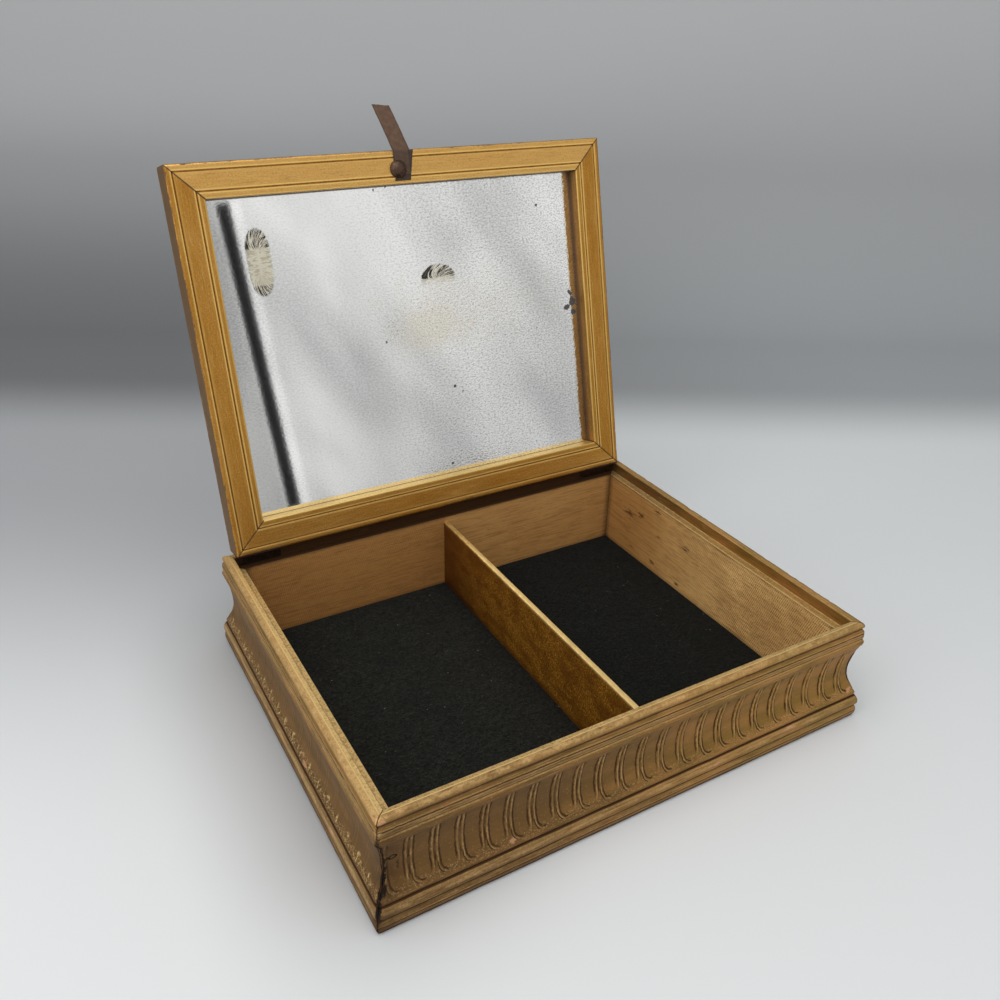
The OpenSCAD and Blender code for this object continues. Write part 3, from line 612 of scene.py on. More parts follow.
def black_felt(s):
    """Matted black felt with lint, darker on the right by painted shade."""
    f = Finish("black_felt", Sheen_Weight=0.015, Sheen_Roughness=0.5, Specular_IOR_Level=0.03)
    at = f.scaled(f.place(), 1000, 1000, 1000)
    mat = f.noise(f.scaled(at, 1, 1, 1, (0, 0, 0.6)), 0.55, 5, 0.85, 0.6)
    strand = f.noise(f.scaled(at, 0.3, 1.5, 1, (0, 0, 0.2)), 1.0, 4, 0.75, 2.0)
    patch = f.noise(at, 0.04, 3)
    base = f.mix(f.span(mat, 0.36, 0.62), paint(18, 19, 18), s.felt)
    base = f.mix(f.span(patch, 0.4, 0.65, 0, 0.4), base, paint(28, 29, 27))
    base = f.mix(f.span(strand, 0.54, 0.66, 0, 0.8), base, paint(80, 82, 76))
    # Painted shade: darker towards the right compartment.
    base = f.mix(f.span(f.xyz(at)[0], -20, 10, 0.1, 0.5), base, paint(13, 14, 12))
    spots = f.span(f.cells(f.scaled(at, 1, 1.7, 1), 0.13), 0.07, 0.03)
    dust = f.math("MULTIPLY", spots, f.span(f.noise(at, 0.09, 2), 0.46, 0.6))
    base = f.mix(f.math("MULTIPLY", dust, 0.8), base, s.lint)
    f.put(f.surface.inputs["Base Color"], base)
    f.surface.inputs["Roughness"].default_value = 1.0
    f.put(f.surface.inputs["Normal"], f.bump(f.math("ADD", mat, strand), 0.0006, 1.0))
    return f.material


def fox(f, at, middle, reach, spokes, dark_from, fades_below):
    """A feathery patch in the silvering: how creamy it is, and its dark radial strokes."""
    away = f.add("ShaderNodeVectorMath", {"operation": "SUBTRACT"}, i0=at, i1=(*middle, 0.0)).outputs[0]
    x, y, _ = f.xyz(f.scaled(away, 1 / reach[0], 1 / reach[1], 1))
    straight = max(0.0, 0.5 * (1.0 - reach[0] / reach[1]))
    beyond = f.math("MAXIMUM", f.math("SUBTRACT", f.math("ABSOLUTE", y), straight), 0.0)
    beyond = f.join("MULTIPLY", beyond, f.math("SIGN", y), 1.0 / (1.0 - straight))
    radius = f.math("POWER", f.math("ADD", f.math("POWER", x, 2.0), f.math("POWER", beyond, 2.0)), 0.5)
    turn = f.math("ADD", f.math("ARCTAN2", beyond, x), f.math("MULTIPLY", y, 1.4))
    spoke = f.add("ShaderNodeCombineXYZ", X=f.math("MULTIPLY", turn, spokes), Y=f.math("MULTIPLY", radius, 1.8),
                  Z=middle[0])
    streak = f.noise(spoke.outputs[0], 1.0, 3, 0.65, 0.7)
    rough = f.math("ADD", radius, f.math("MULTIPLY", f.math("SUBTRACT", streak, 0.5), 0.7))
    shown = f.span(y, fades_below - 0.5, fades_below + 0.35)
    cream = f.join("MULTIPLY", f.span(rough, 1.05, 0.8), shown)
    stroke = f.join(
        "MULTIPLY", f.span(streak, 0.48, 0.56), f.span(radius, 0.02, 0.2), f.span(rough, 1.12, 1.0), shown)
    ends = f.math("MAXIMUM", f.span(y, dark_from, dark_from + 0.3), f.span(y, -0.6, -0.8) if reach[1] > 12 else 0.0)
    return cream, stroke, ends


def old_mirror(s):
    """Silvering with grey clouds, cream stains, feathery patches and specks, placed in mm over the glass. The clouds
    and the mottling carry painted reflection, and a painted shadow lies under the top rail.
    """
    f = Finish("foxed_mirror", IOR=1.5)
    at = f.mark("glass", vector=True)
    stain, lost, tarnish_and_reflection = f.mark("stain"), f.mark("lost"), f.mark("tarnish_and_reflection")
    fine = f.noise(at, 0.9, 4, 0.75)
    speck = f.cells(at, 0.24)
    specks = f.math("MULTIPLY", f.span(speck, 0.06, 0.03), f.span(f.noise(at, 0.05, 2), 0.52, 0.6))
    mottle = f.noise(f.scaled(at, 1.0, 1.5, 1), 0.7, 5, 0.8)
    # Mottling with painted reflection of the rippled glass, strongest on the right.
    mottled = f.math("MULTIPLY", f.span(mottle, 0.46, 0.66), f.span(f.mark("rippled"), 0.0, 1.2, 0.25, 1.0))
    # Tarnish clouds with painted reflection of the room.
    clouds = f.math("MULTIPLY", tarnish_and_reflection, f.span(mottle, 0.34, 0.6, 0.55, 1.1))
    base = f.mix(clouds, s.silver, s.tarnish)
    base = f.mix(mottled, base, paint(172, 173, 171))
    # Painted shadow on the glass under the top rail.
    rail_shadow = f.span(f.xyz(at)[1], 187.0, 187.7, 0.0, 0.8)
    cream = f.math("MULTIPLY", stain, f.span(fine, 0.3, 0.66, 0.75, 0.2))
    strokes, pale_strokes = 0.0, 0.0
    for middle, reach, spokes, faint, dark_from, fades_below in (
        ((-87.3, 154.5), (6.6, 17.4), 13.0, 0.66, 0.3, -1.6), ((15.6, 134.0), (11.0, 8.6), 10.0, 0.55, 0.0, -0.1),
    ):
        soft, stroke, ends = fox(f, at, middle, reach, spokes, dark_from, fades_below)
        cream = f.math("MAXIMUM", cream, f.math("MULTIPLY", soft, faint))
        strokes = f.math("MAXIMUM", strokes, f.join("MULTIPLY", stroke, ends))
        pale_strokes = f.math("MAXIMUM", pale_strokes, stroke)
    base = f.mix(cream, base, s.stain)
    base = f.mix(f.math("MULTIPLY", pale_strokes, 0.5), base, paint(140, 132, 92))
    dark = f.join("MULTIPLY", f.span(strokes, 0.15, 0.5), f.span(fine, 0.3, 0.45, 0.75, 1.0))
    base = f.mix(dark, base, paint(28, 22, 10))
    base = f.mix(rail_shadow, base, paint(40, 32, 22))
    grains = f.join("MULTIPLY", f.mark("grains"), f.span(f.noise(at, 0.8, 3, 0.8), 0.54, 0.62), 0.6)
    base = f.mix(grains, base, paint(96, 80, 50))
    edge = f.span(f.math("ADD", lost, f.math("MULTIPLY", f.math("SUBTRACT", fine, 0.5), 1.3)), 0.45, 0.6)
    gone = f.math("MAXIMUM", f.math("MULTIPLY", edge, f.span(lost, 0.02, 0.15)), specks)
    base = f.mix(f.math("MULTIPLY", gone, 0.92), base, s.lost)
    f.put(f.surface.inputs["Base Color"], base)
    dull = f.join("MAXIMUM", f.math("MULTIPLY", cream, 0.8), gone, dark, grains, rail_shadow)
    f.put(f.surface.inputs["Metallic"], f.math("SUBTRACT", 1.0, dull, True))
    f.put(f.surface.inputs["Roughness"], f.math("ADD", 0.03, f.math("MULTIPLY", dull, 0.35)))
    ripple = f.math("MULTIPLY", f.noise(f.scaled(at, 0.75, 1.3, 1), 0.75, 2, 0.5), f.mark("rippled"))
    f.put(f.surface.inputs["Normal"], f.bump(ripple, 0.0001, 0.8))
    return f.material


def board_wood(name, light, dark, grain_turn=0.0):
    """Plain stained board with grain."""
    f = Finish(name, IOR=1.45, Roughness=0.62)
    at = f.scaled(f.place(), 1000, 1000, 1000, (0, 0, grain_turn))
    grain = f.noise(f.scaled(at, 0.012, 0.35, 0.35), 1.0, 6, 0.75, 0.9)
    pores = f.noise(f.scaled(at, 0.12, 2.2, 2.2), 1.0, 4, 0.75)
    patch = f.noise(at, 0.02, 3)
    base = f.mix(f.span(grain, 0.38, 0.62, 0, 0.75), light, dark)
    base = f.mix(f.span(pores, 0.54, 0.66, 0, 0.6), base, dark)
    base = f.mix(f.span(patch, 0.45, 0.65, 0, 0.35), base, dark)
    f.put(f.surface.inputs["Base Color"], base)
    f.put(f.surface.inputs["Normal"], f.bump(f.math("ADD", grain, pores), 0.00015, 0.7))
    return f.material


def old_card():
    """Brown backing card."""
    f = Finish("backing_card", Roughness=0.85)
    at = f.scaled(f.place(), 1000, 1000, 1000)
    fibre = f.noise(at, 1.5, 4, 0.7)
    base = f.mix(f.span(fibre, 0.3, 0.7), paint(128, 104, 74), paint(104, 82, 56))
    f.put(f.surface.inputs["Base Color"], base)
    f.put(f.surface.inputs["Normal"], f.bump(fibre, 0.0001, 0.6))
    return f.material


def iron(name, tone, rust, metallic=0.75):
    """Dark iron with rust bloom."""
    f = Finish(name, IOR=1.5, Metallic=metallic)
    at = f.scaled(f.place(), 1000, 1000, 1000)
    patch = f.noise(at, 0.6, 4, 0.65)
    fine = f.noise(at, 3.5, 3, 0.7)
    base = f.mix(f.span(patch, 0.45, 0.68, 0, 0.7), tone, rust)
    base = f.mix(f.span(fine, 0.6, 0.75, 0, 0.4), base, paint(128, 116, 104))
    f.put(f.surface.inputs["Base Color"], base)
    f.put(f.surface.inputs["Roughness"], f.span(patch, 0.3, 0.7, 0.26, 0.5))
    f.put(f.surface.inputs["Normal"], f.bump(fine, 0.00005, 0.7))
    return f.material


def corded_ribbon(s):
    """Brown ribbon with fine cords across it, and painted shade along its edges and where it lies on the lid."""
    f = Finish("corded_ribbon", Sheen_Weight=0.3, Sheen_Roughness=0.4, Specular_IOR_Level=0.35)
    at = f.mark("stick", vector=True)
    x, y, _ = f.xyz(at)
    wander = f.math("MULTIPLY", f.noise(at, 0.6, 2), 0.25)
    cords = f.math("SINE", f.math("MULTIPLY", f.math("ADD", y, wander), 2 * math.pi / 0.62))
    cords = f.math("ADD", f.math("MULTIPLY", cords, 0.5), 0.5)
    threads = f.math("SINE", f.math("MULTIPLY", x, 2 * math.pi / 0.28))
    worn = f.noise(at, 0.35, 4, 0.6)
    shade = f.mark("recess")
    base = f.mix(f.span(worn, 0.35, 0.7), s.ribbon, paint(120, 92, 72))
    base = f.mix(f.math("MULTIPLY", f.math("SUBTRACT", 1.0, cords), 0.35), base, paint(50, 36, 28))
    # Painted shade from the recess mark.
    base = f.mix(shade, base, paint(36, 25, 19))
    f.put(f.surface.inputs["Base Color"], base)
    f.surface.inputs["Roughness"].default_value = 0.62
    height = f.math("ADD", cords, f.math("MULTIPLY", threads, 0.12))
    f.put(f.surface.inputs["Normal"], f.bump(height, 0.00012, 0.9))
    return f.material


# Operators


class Work(Operator):
    """Common ground of the operators: a step that can't finish stops the script."""

    bl_options = {"REGISTER", "UNDO"}

    def execute(self, context):
        self.build(context.scene)
        return {"FINISHED"}


def sweep(section, columns, half, relief, warp=None, gap=None, room=20.0):
    """Sweeps a closed section between two mitres.

    columns are places along the side, and half is half its length where the section's out is 0. warp moves the
    columns along, relief lifts each point off the face and gives its marks, and gap is how far each end stands
    back from its mitre. Gives the places along, out and up, the marks, and the faces with their rows."""
    section = np.asarray(section, float)
    ahead, behind = np.roll(section, -1, 0), np.roll(section, 1, 0)
    run = ahead - behind
    run /= np.linalg.norm(run, axis=1, keepdims=True)
    n, m = len(section), len(columns)
    out, up = np.repeat(section[:, :1], m, 1), np.repeat(section[:, 1:], m, 1)

    def fit(along, out):
        over = np.maximum(np.abs(along) - (half - room), 0)
        reach = room + out
        if gap is not None:
            reach = reach - gap(out, up, along < 0)
        return np.sign(along) * (np.minimum(np.abs(along), half - room) + over * reach / room)

    along = np.repeat(np.asarray(columns, float)[None, :], n, 0)
    if warp is not None:
        along = warp(along, up)
    lift, marks = relief(fit(along, out), out, up)
    out2, up2 = out + lift * run[:, 1:], up - lift * run[:, :1]
    grid = np.arange(n * m).reshape(n, m)
    after = np.roll(grid, -1, 0)
    quads = np.stack([grid[:, :-1], grid[:, 1:], after[:, 1:], after[:, :-1]], -1).reshape(-1, 4)
    rows = np.repeat(np.arange(n), m - 1)
    faces = quads.tolist() + [grid[:, 0].tolist(), grid[::-1, -1].tolist()]
    return (fit(along, out2), out2, up2), marks, faces, rows


def through(knots, at):
    """Smooth curve through (place, value) knots."""
    x, y = np.array(knots, float).T
    slope = np.gradient(y, x)
    k = np.clip(np.searchsorted(x, at) - 1, 0, len(x) - 2)
    h = x[k + 1] - x[k]
    t = (at - x[k]) / h
    a, b = 2 * t**3 - 3 * t**2 + 1, t**3 - 2 * t**2 + t
    return a * y[k] + b * h * slope[k] + (1 - a) * y[k + 1] + (t**3 - t**2) * h * slope[k + 1]


COVE = [(16.9, 1.42), (18.2, 0.95), (20, 0.2), (23, -1.1), (27, -2.15), (31, -2.45), (35, -2.2), (39, -1.6),
        (43, -0.75), (45.3, 0.0)]


def moulding_section(s):
    """The moulding's outline from under the plinth, up the outside and down the inside. Gives the points and the
    number of the first one that is bare wood."""
    wall, lip, ledge = mm(s, "wall"), mm(s, "lip_width"), 60 - mm(s, "rebate")
    roll = mm(s, "plinth_out") - 7
    rows = dense([(-5.8, 0), (2.2, 0)], 2.6)
    rows += arc(roll, 3.905, 7, 0.25, 7.2, 0.62)
    rows += [(2.6, 7.33), (2.55, 7.5), (2.95, 7.7), (2.95, 8.1), (2.5, 8.3), (2.5, 8.48)]
    rows += arc(roll, 9.6, 7, 8.62, 13.7, 0.6)
    rows += [(1.3, 13.86), (1.28, 14.04)]
    rows += arc(0.1, 15.45, 2, 14.22, 16.7, 0.45)
    heights = np.concatenate([np.arange(16.95, 26.4, 0.36), np.arange(26.6, 45.2, 0.93)])
    rows += list(zip(through(COVE, heights), heights))
    rows += arc(-2.3, 47.9, 3.2, 45.75, 50.15, 0.55)
    rows += [(-0.3, 50.34), (-0.28, 50.58), (0.35, 50.75)]
    rows += dense([(0.42, 51.2), (0.4, 53.3)], 0.7)
    rows += [(0.15, 53.46), (0.15, 53.66), (0.32, 53.82), (0.25, 54.6), (-0.05, 55.05), (-0.45, 55.6), (-0.68, 56.2),
             (-0.66, 56.75), (-0.4, 57.2), (-0.04, 57.45)]
    rows += [(-2.4 + 2.4 * math.cos(a), 57.6 + 2.4 * math.sin(a)) for a in np.linspace(0.06, math.pi / 2, 10)]
    rows += [(-2.75, 60), (-3.0, 59.95), (-3.7, 59.82), (-4.5, 59.7), (0.25 - lip, 59.6), (-lip, 59.35)]
    rows += dense([(-lip, 59), (-lip, ledge + 0.15)], 0.9)
    rows += dense([(-lip - 0.2, ledge), (0.25 - wall, ledge)], 0.85)
    bare = len(rows)
    rows += dense([(-wall, ledge - 0.25), (-wall, 4.6)], 1.65)
    rows += [(-wall, 4.5), (-7.8, 4.5), (-5.8, 4.5), (-5.8, 2.2)]
    return rows, bare


def bay_columns(s, length_mm):
    """Places along a side, close together at the ribs. Also gives the middles of the tongues."""
    first, bay, gap = mm(s, "first_pair"), mm(s, "bay"), mm(s, "rib_gap") / 2
    half = bay / 2
    steps = [0, 0.5, gap - 0.62, gap - 0.36, gap - 0.16, gap, gap + 0.16, gap + 0.36, gap + 0.65, gap + 1.1,
             gap + 1.8, gap + 2.7, gap + 3.6]
    steps = np.array([v for v in steps if 0 <= v < half])
    around = np.unique(np.concatenate([-steps, steps]))
    pairs = np.arange(first, length_mm - 4, bay)
    body = np.concatenate([p + around for p in pairs])
    low, high = body.min(), body.max()
    ends = [np.arange(0, low - 0.3, 0.6), np.append(np.arange(high + 0.6, length_mm - 0.3, 0.6), length_mm)]
    columns = np.concatenate([ends[0], body, ends[1]]) - length_mm / 2
    return columns, np.append(pairs[0] - half, pairs + half) - length_mm / 2


FOOT = 21.8


def tongue_half(up, half_bay, gap):
    """Half the width of a tongue at each height, above its round foot."""
    narrow = half_bay - gap
    return narrow + 0.25 * rise(up, 39, 46)


# How strongly each side shows its ribs and its leaves, how much pale gold and painted highlight the lip and ledge
# carry, and how much painted shade darkens the riser between them.
FLUTED = {"front": 1.0, "back": 1.0, "left": 0.16, "right": 0.8}
LEAVES = {"front": 0.55, "back": 0.6, "left": 1.0, "right": 0.9}
PAINTED = {"front": (0.5, 0.3, 0.42), "back": (0.1, 0.0, 1.1), "left": (0.75, 0.9, 0.42), "right": (0.1, 0.45, 0.16)}
# Spots where the paint is gone: along, up, and half their length and height.
SPOTS = {
    "front": [(-73.6, 18, 2.0, 1.5), (89, 12.6, 5, 0.8), (132, 18, 1.8, 1.6), (-132.5, 58.3, 2.2, 2), (40, 11, 3, 0.6)],
    "left": [(23, 17.2, 3.2, 1.3), (19, 19.5, 1.6, 0.9), (105.5, 58.3, 2.6, 2.2), (-46, 10, 3.5, 1), (62, 11.5, 4, 0.7)],
    "right": [(-60, 11, 5, 0.9), (75, 18.5, 2.5, 1.3), (-100, 57, 3, 2)],
    "back": [(-35, 10.5, 5, 0.9), (12, 18.5, 2.5, 1.3), (104, 10, 3, 1.2), (60, 52, 4, 1)],
}


class VANITY_OT_moulding(Work):
    """Builds the four mitred lengths of moulding round the box"""

    bl_idname = "vanity.moulding"
    bl_label = "Moulding"

    def build(self, scene):
        s = scene.vanity_moulding
        self.s = s
        gilt, bare_wood = moulding_gilt(s), inner_wood(s)
        section, bare = moulding_section(s)
        low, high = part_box("rail_front")
        low2, high2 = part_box("rail_left")
        half_x = (high.x - low.x) / 2 / MM - mm(s, "plinth_out")
        half_y = (high2.y - low2.y) / 2 / MM - mm(s, "plinth_out")
        self.half_x = half_x
        for k, side in enumerate(("front", "back", "left", "right")):
            half = half_x if side in ("front", "back") else half_y
            columns, self.tongues = bay_columns(s, 2 * half)
            self.side, self.half, self.seed = side, half, 40 * k + 3
            (along, out, up), marks, faces, rows = sweep(
                section, columns, half, self.relief, self.warp, self.gap
            )
            if side == "back":
                out, up = self.rounded(out, up)
                out, up = self.notched(along, out, up)
            place = side_place(side, half_x, half_y)
            points = place(along, out, up).reshape(-1, 3) * MM
            stick = np.stack([along + 300 * k, out, up], -1).reshape(-1, 3)
            kinds = np.append(((rows >= bare) & (rows < len(section))).astype(int), [1, 1])
            piece("moulding_" + side, points, faces, "box", "gilt_moulding", ["rail_" + side],
                  [gilt, bare_wood], kinds, stick=stick,
                  **{k: v.reshape(-1, 3) if k == "bay" else v.ravel() for k, v in marks.items()})

    def outline(self, along, up):
        """Distance from the nearest tongue's outline, below 0 inside the tongue, then the place along from the
        tongue's middle."""
        s = self.s
        half_bay, gap = mm(s, "bay") / 2, mm(s, "rib_gap") / 2
        near = self.tongues[np.argmin(np.abs(along[..., None] - self.tongues), -1)]
        t = np.abs(along - near)
        wide = tongue_half(up, half_bay, gap)
        below = np.hypot(t, np.minimum(up - FOOT, 0)) - (half_bay - gap)
        return np.where(up < FOOT, below, t - wide), along - near

    def warp(self, along, up):
        """Moves the columns along so that they follow the ribs."""
        s = self.s
        bay, gap = mm(s, "bay"), mm(s, "rib_gap") / 2
        half_bay = bay / 2
        nearest = self.tongues[np.argmin(np.abs(along[..., None] - self.tongues), -1)]
        v = half_bay - np.abs(along - nearest)
        foot = half_bay - np.sqrt(np.maximum((half_bay - gap) ** 2 - np.minimum(up - FOOT, 0) ** 2, 1.2))
        rib = np.where(up < FOOT, foot, half_bay - tongue_half(up, half_bay, gap))
        rib = np.where((up < 17) | (up > 45.6), gap, rib)
        rib = np.clip(rib, 0.5, half_bay - 1.1)
        moved = np.where(v < gap, v * rib / gap, rib + (v - gap) * (half_bay - rib) / (half_bay - gap))
        moved = half_bay - moved
        inside = np.abs(along - nearest) < half_bay + 0.01
        within = (along > self.tongues[0]) & (along < self.tongues[-1])
        return np.where(inside & within, nearest + np.sign(along - nearest) * moved, along)

    def gap(self, out, up, start):
        """Open crack at the front left mitre, and a hair's width at the others."""
        wide = (self.side == "front", self.side == "left")
        crack = 0.22 + 0.3 * np.abs(cloud(up / 6.0, 0 * up, 901, 3)) + 0.28 * bump(up, 38, 7) + 0.2 * bump(up, 20, 5)
        crack = crack * rise(up, 0.5, 6) * (1 - 0.8 * rise(up, 55, 60))
        sway = 0.35 * cloud(up / 7.0, 0 * up, 905, 3) * rise(up, 2, 8) * (1 - rise(up, 53, 58))
        here = crack + (sway if wide[0] else -sway)
        hair = 0.02 + 0.03 * np.abs(cloud(up / 9.0, 0 * up, 77 + self.seed, 2))
        return np.where(start if wide[0] else ~start if wide[1] else False, here, hair)

    def relief(self, along, out, up):
        s = self.s
        seed = self.seed
        flat = np.zeros_like(up)
        outside = (out > -5.0) & (up > 0.2)
        edge = self.half + out - np.abs(along)
        away = rise(edge, 0.3, 2.5)
        wander = cloud(along / 13, up / 7, seed, 3)
        grit = cloud(along / 1.6, up / 1.6, seed + 9, 3)
        lift = np.where(outside, 0.12 * wander + 0.05 * grit, flat)
        recess, rub, wear = flat + 0.0, flat + 0.0, flat + 0.0

        cove = outside & (up > 16.8) & (up < 45.7)
        d, t = self.outline(along, up)
        shown = np.where(cove, away * rise(up, 16.9, 18.6) * (1 - rise(up, 43.6, 45.6)), 0)
        shown = shown * np.where(t < 0, 1, rise(up, 18.0, 24.0)) * FLUTED[self.side]
        worn = 0.75 + 0.55 * cloud(along / 9, up / 13, seed + 21, 2)
        rib = bump(d, 0.3, 0.5)
        groove = bump(d, -0.75, 0.4) + bump(d, 1.45, 0.3) * (up > 22)
        lift += shown * worn * (mm(s, "rib_height") * rib - 0.25 * groove)
        hollow = np.clip(-d / 4.4, 0, 1)
        depth = (1 - (1 - hollow) ** 2) * rise(up, 18.5, 25) * (1 - rise(up, 38, 45))
        lift -= np.where(cove, mm(s, "flute_depth") * depth * FLUTED[self.side], 0)
        # Painted shade at the tops of the flutes, under the bead.
        recess += np.where(cove, 0.28 * rise(up, 40.5, 45.0), 0)
        foot = np.where(outside, bump(up, 18.4, 2.0) * (up > 15.4), 0) * away
        lift += mm(s, "crust") * foot * (0.5 + 0.6 * cloud(along / 1.5, up / 1.2, seed + 31, 3))
        # Rubbed paint and painted highlights on the plinth's rolls and the band.
        high_parts = bump(up, 11.4, 1.5) * 0.7 + bump(up, 5.7, 0.9) * 0.3 + bump(up, 52.4, 1.6) * 0.35
        dabs = np.clip(0.5 + 1.1 * cloud(along / 8, up / 1.4, seed + 41, 3), 0, 1)
        rub += np.where(outside, high_parts * dabs, 0)
        # The lip's top paler: rubbed paint and a painted highlight.
        top = rise(up, 57.5, 59.5) * (out > -5.2)
        pepper = cloud(along / 3.2, (up + 2 * out) / 1.8, seed + 51, 3)
        rub += top * np.clip(0.5 + 0.6 * pepper, 0, 0.9) * (0.3 if self.side == "right" else 1.0)
        # Pale gold and painted highlights on the lip's inner half and the ledge's edges; painted shade on the riser,
        # and on the back over the whole ledge under the lid.
        riser = (out > -5.35) & (out < -5.25) & (up < 59)
        ledge = (out < -5.35) & (out > -9.9) & (up > 52.9) & (up < 54)
        on_lip, on_ledge, in_riser = PAINTED[self.side]
        gold = np.where((out < -2.7) & (out > -5.2) & (up > 59), on_lip, 0) + np.where(ledge, on_ledge, 0)
        recess += np.where(riser, in_riser * (1 + 0.5 * wander), 0)
        if self.side == "back":
            recess += np.where(ledge, 1.1, 0)
        else:
            rub += np.where(ledge & ((out < -9.2) | (out > -6.3)), 0.9, 0)
        dents = rise(cloud(along / 5.5, up / 3.5, seed + 61, 2), 0.42, 0.6) * rise(up, 46, 50)
        lift -= np.where(outside, 0.18 * dents, 0)

        for middle_u, middle_z, long, tall in SPOTS[self.side]:
            near = bump(along, middle_u, long) * bump(up, middle_z, tall)
            wear = np.maximum(wear, np.where(outside, near * (0.72 if middle_z > 50 else 1), 0))
        wear = wear + np.where(outside, 0.3 * rise(cloud(along / 7, up / 2.6, seed + 71, 3), 0.35, 0.6), 0)
        lift -= 0.1 * rise(wear, 0.4, 0.7)

        joint = 1 - rise(edge, 0.05, 0.55)
        lift -= np.where(outside | (out < -5.2), 0.25 * joint, 0) * (up > 0.2)
        recess += joint * 1.1
        crack = flat + 40.0
        if self.side in ("front", "left"):
            start = along < 0 if self.side == "front" else along > 0
            chips = rise(cloud(edge / 2.4, up / 3.1, 811, 3), -0.05, 0.4) * (1 - rise(edge, 1.2, 3.4))
            lift -= np.where(start & outside & (up > 3), 0.35 * chips, 0)
            rub += np.where(start & outside, 1.2 * chips * rise(up, 48, 56), 0)
            crack = np.where(start & outside, edge, 40.0)

        # Inside faces: the tone mark makes the right wall lighter towards its front, which is painted light; the recess
        # mark is painted shade in the corners, along the foot and under the ledge.
        inner = (out < -9.6) & (up < 53.1)
        tone, stain, ribbed = flat + 0.0, flat + 0.0, flat + 0.8
        if self.side == "right":
            tone = 0.05 + 0.85 * rise(along, -20, 70) + 0.2 * cloud(along / 30, up / 20, seed + 81, 2)
            ribbed = 1 - rise(along + 0.6 * (53 - up), 5, 60)
            knots = ((47, 49.5, 5.0, 3.2), (16, 37.5, 5.5, 3.0), (44, 33, 3.0, 2.4), (48, 11.5, 4.0, 2.6),
                     (21.5, 9, 3.4, 2.2), (70, 12, 4.0, 2.4), (76, 35, 9.0, 3.4), (64, 39, 5.0, 2.6))
            for y, z, long, tall in knots:
                stain = np.maximum(stain, bump(along, y, long) * bump(up, z, tall) * 0.85)
        elif self.side == "back":
            tone = np.where(along > 0, 1.0, 0.8)
            ribbed = np.where(along > 0, 0.6, 0.0)
        else:
            tone = 0.4 + 0.4 * cloud(along / 30, up / 20, seed + 81, 2)
        corner = 1 - rise(self.half + out - np.abs(along), 0.4, 5)
        dark = 0.55 * corner + 0.5 * (1 - rise(up, 4.8, 8)) + 0.5 * bump(up, 53.0, 0.5)
        rub = np.where(inner, ribbed, rub)
        wear = np.where(inner, stain, wear)
        recess = np.where(inner, np.clip(dark, 0, 0.9), recess)
        leaf = np.where(outside, away * LEAVES[self.side], 0)
        # Whole sides, and the front towards its left end, darkened: painted shade with some soiling.
        dirt_and_side_shade = {"left": 0.75, "right": 0.35, "back": 0.35}.get(self.side, 0.0)
        clean_lip = 0.9
        if self.side == "front":
            dirt_and_side_shade = 0.1 + 0.85 * rise(-along, -115, 120)
            clean_lip = 0.3
        tone = np.where(outside, dirt_and_side_shade * (1 - clean_lip * rise(up, 45, 51)), tone)
        if self.side == "left":
            # Left side: painted shade at the plinth's foot and in the cove, and painted highlights on the upper roll
            # and the lip.
            recess += np.where(outside, 0.3 * (1 - rise(up, 7.5, 9)) + 0.18 * rise(up, 16, 22) * (1 - rise(up, 44, 47)), 0)
            rub += np.where(outside, 0.5 * bump(up, 10.5, 1.8) + 0.45 * rise(up, 57, 59), 0)
        return lift, {"recess": np.clip(recess, 0, 1.2), "rub": np.clip(rub, 0, 1), "wear": np.clip(wear, 0, 1),
                      "tone": np.clip(tone, 0, 1), "bay": np.stack([t, d, shown], -1), "edge": np.clip(crack, 0, 40),
                      "leaf": leaf, "gold": gold}

    def rounded(self, out, up):
        """Keeps the back lip inside the round that the open lid leans on."""
        d = np.hypot(out + 4, up - 56)
        k = np.where((out > -4) & (up > 56) & (d > 4), 4 / np.maximum(d, 1), 1.0)
        return -4 + (out + 4) * k, 56 + (up - 56) * k

    def notched(self, along, out, up):
        """Clears the hinges' knuckles from the back lip."""
        axis = np.array(HINGE["pos_m"]) / MM
        half_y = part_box("rail_back")[1].y / MM - mm(self.s, "plinth_out")
        low, high = hinge_reach()
        near = (np.abs(along) > low) & (np.abs(along) < high)
        o, z = out - (axis[1] - half_y), up - axis[2]
        d = np.hypot(o, z)
        push = np.where(near & (d < 1.8), 1.8 / np.maximum(d, 0.05), 1.0)
        return out + o * (push - 1), up + z * (push - 1)


def hinge_reach():
    """Nearest and furthest distance from the middle that the hinges' knuckles need cleared, in mm."""
    low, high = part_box("hinge_right_pin")
    return low.x / MM - 0.15, high.x / MM + 1.0


class VANITY_OT_base(Work):
    """Finishes the bottom board and the nails of the box and the lid"""

    bl_idname = "vanity.base"
    bl_label = "Bottom board and nails"

    def build(self, scene):
        board = board_wood("bottom_board_wood", paint(176, 138, 92), paint(120, 84, 50))
        steel = iron("nail_steel", paint(150, 150, 152), paint(122, 92, 66), 0.9)
        finish_nodes(board, "base_board")
        finish_nodes(steel, *(n for n in frame["nodes"] if "nails" in n))


def finish_nodes(material, *names):
    for name in names:
        slots = frame["nodes"][name].data.materials
        slots.clear()
        slots.append(material)


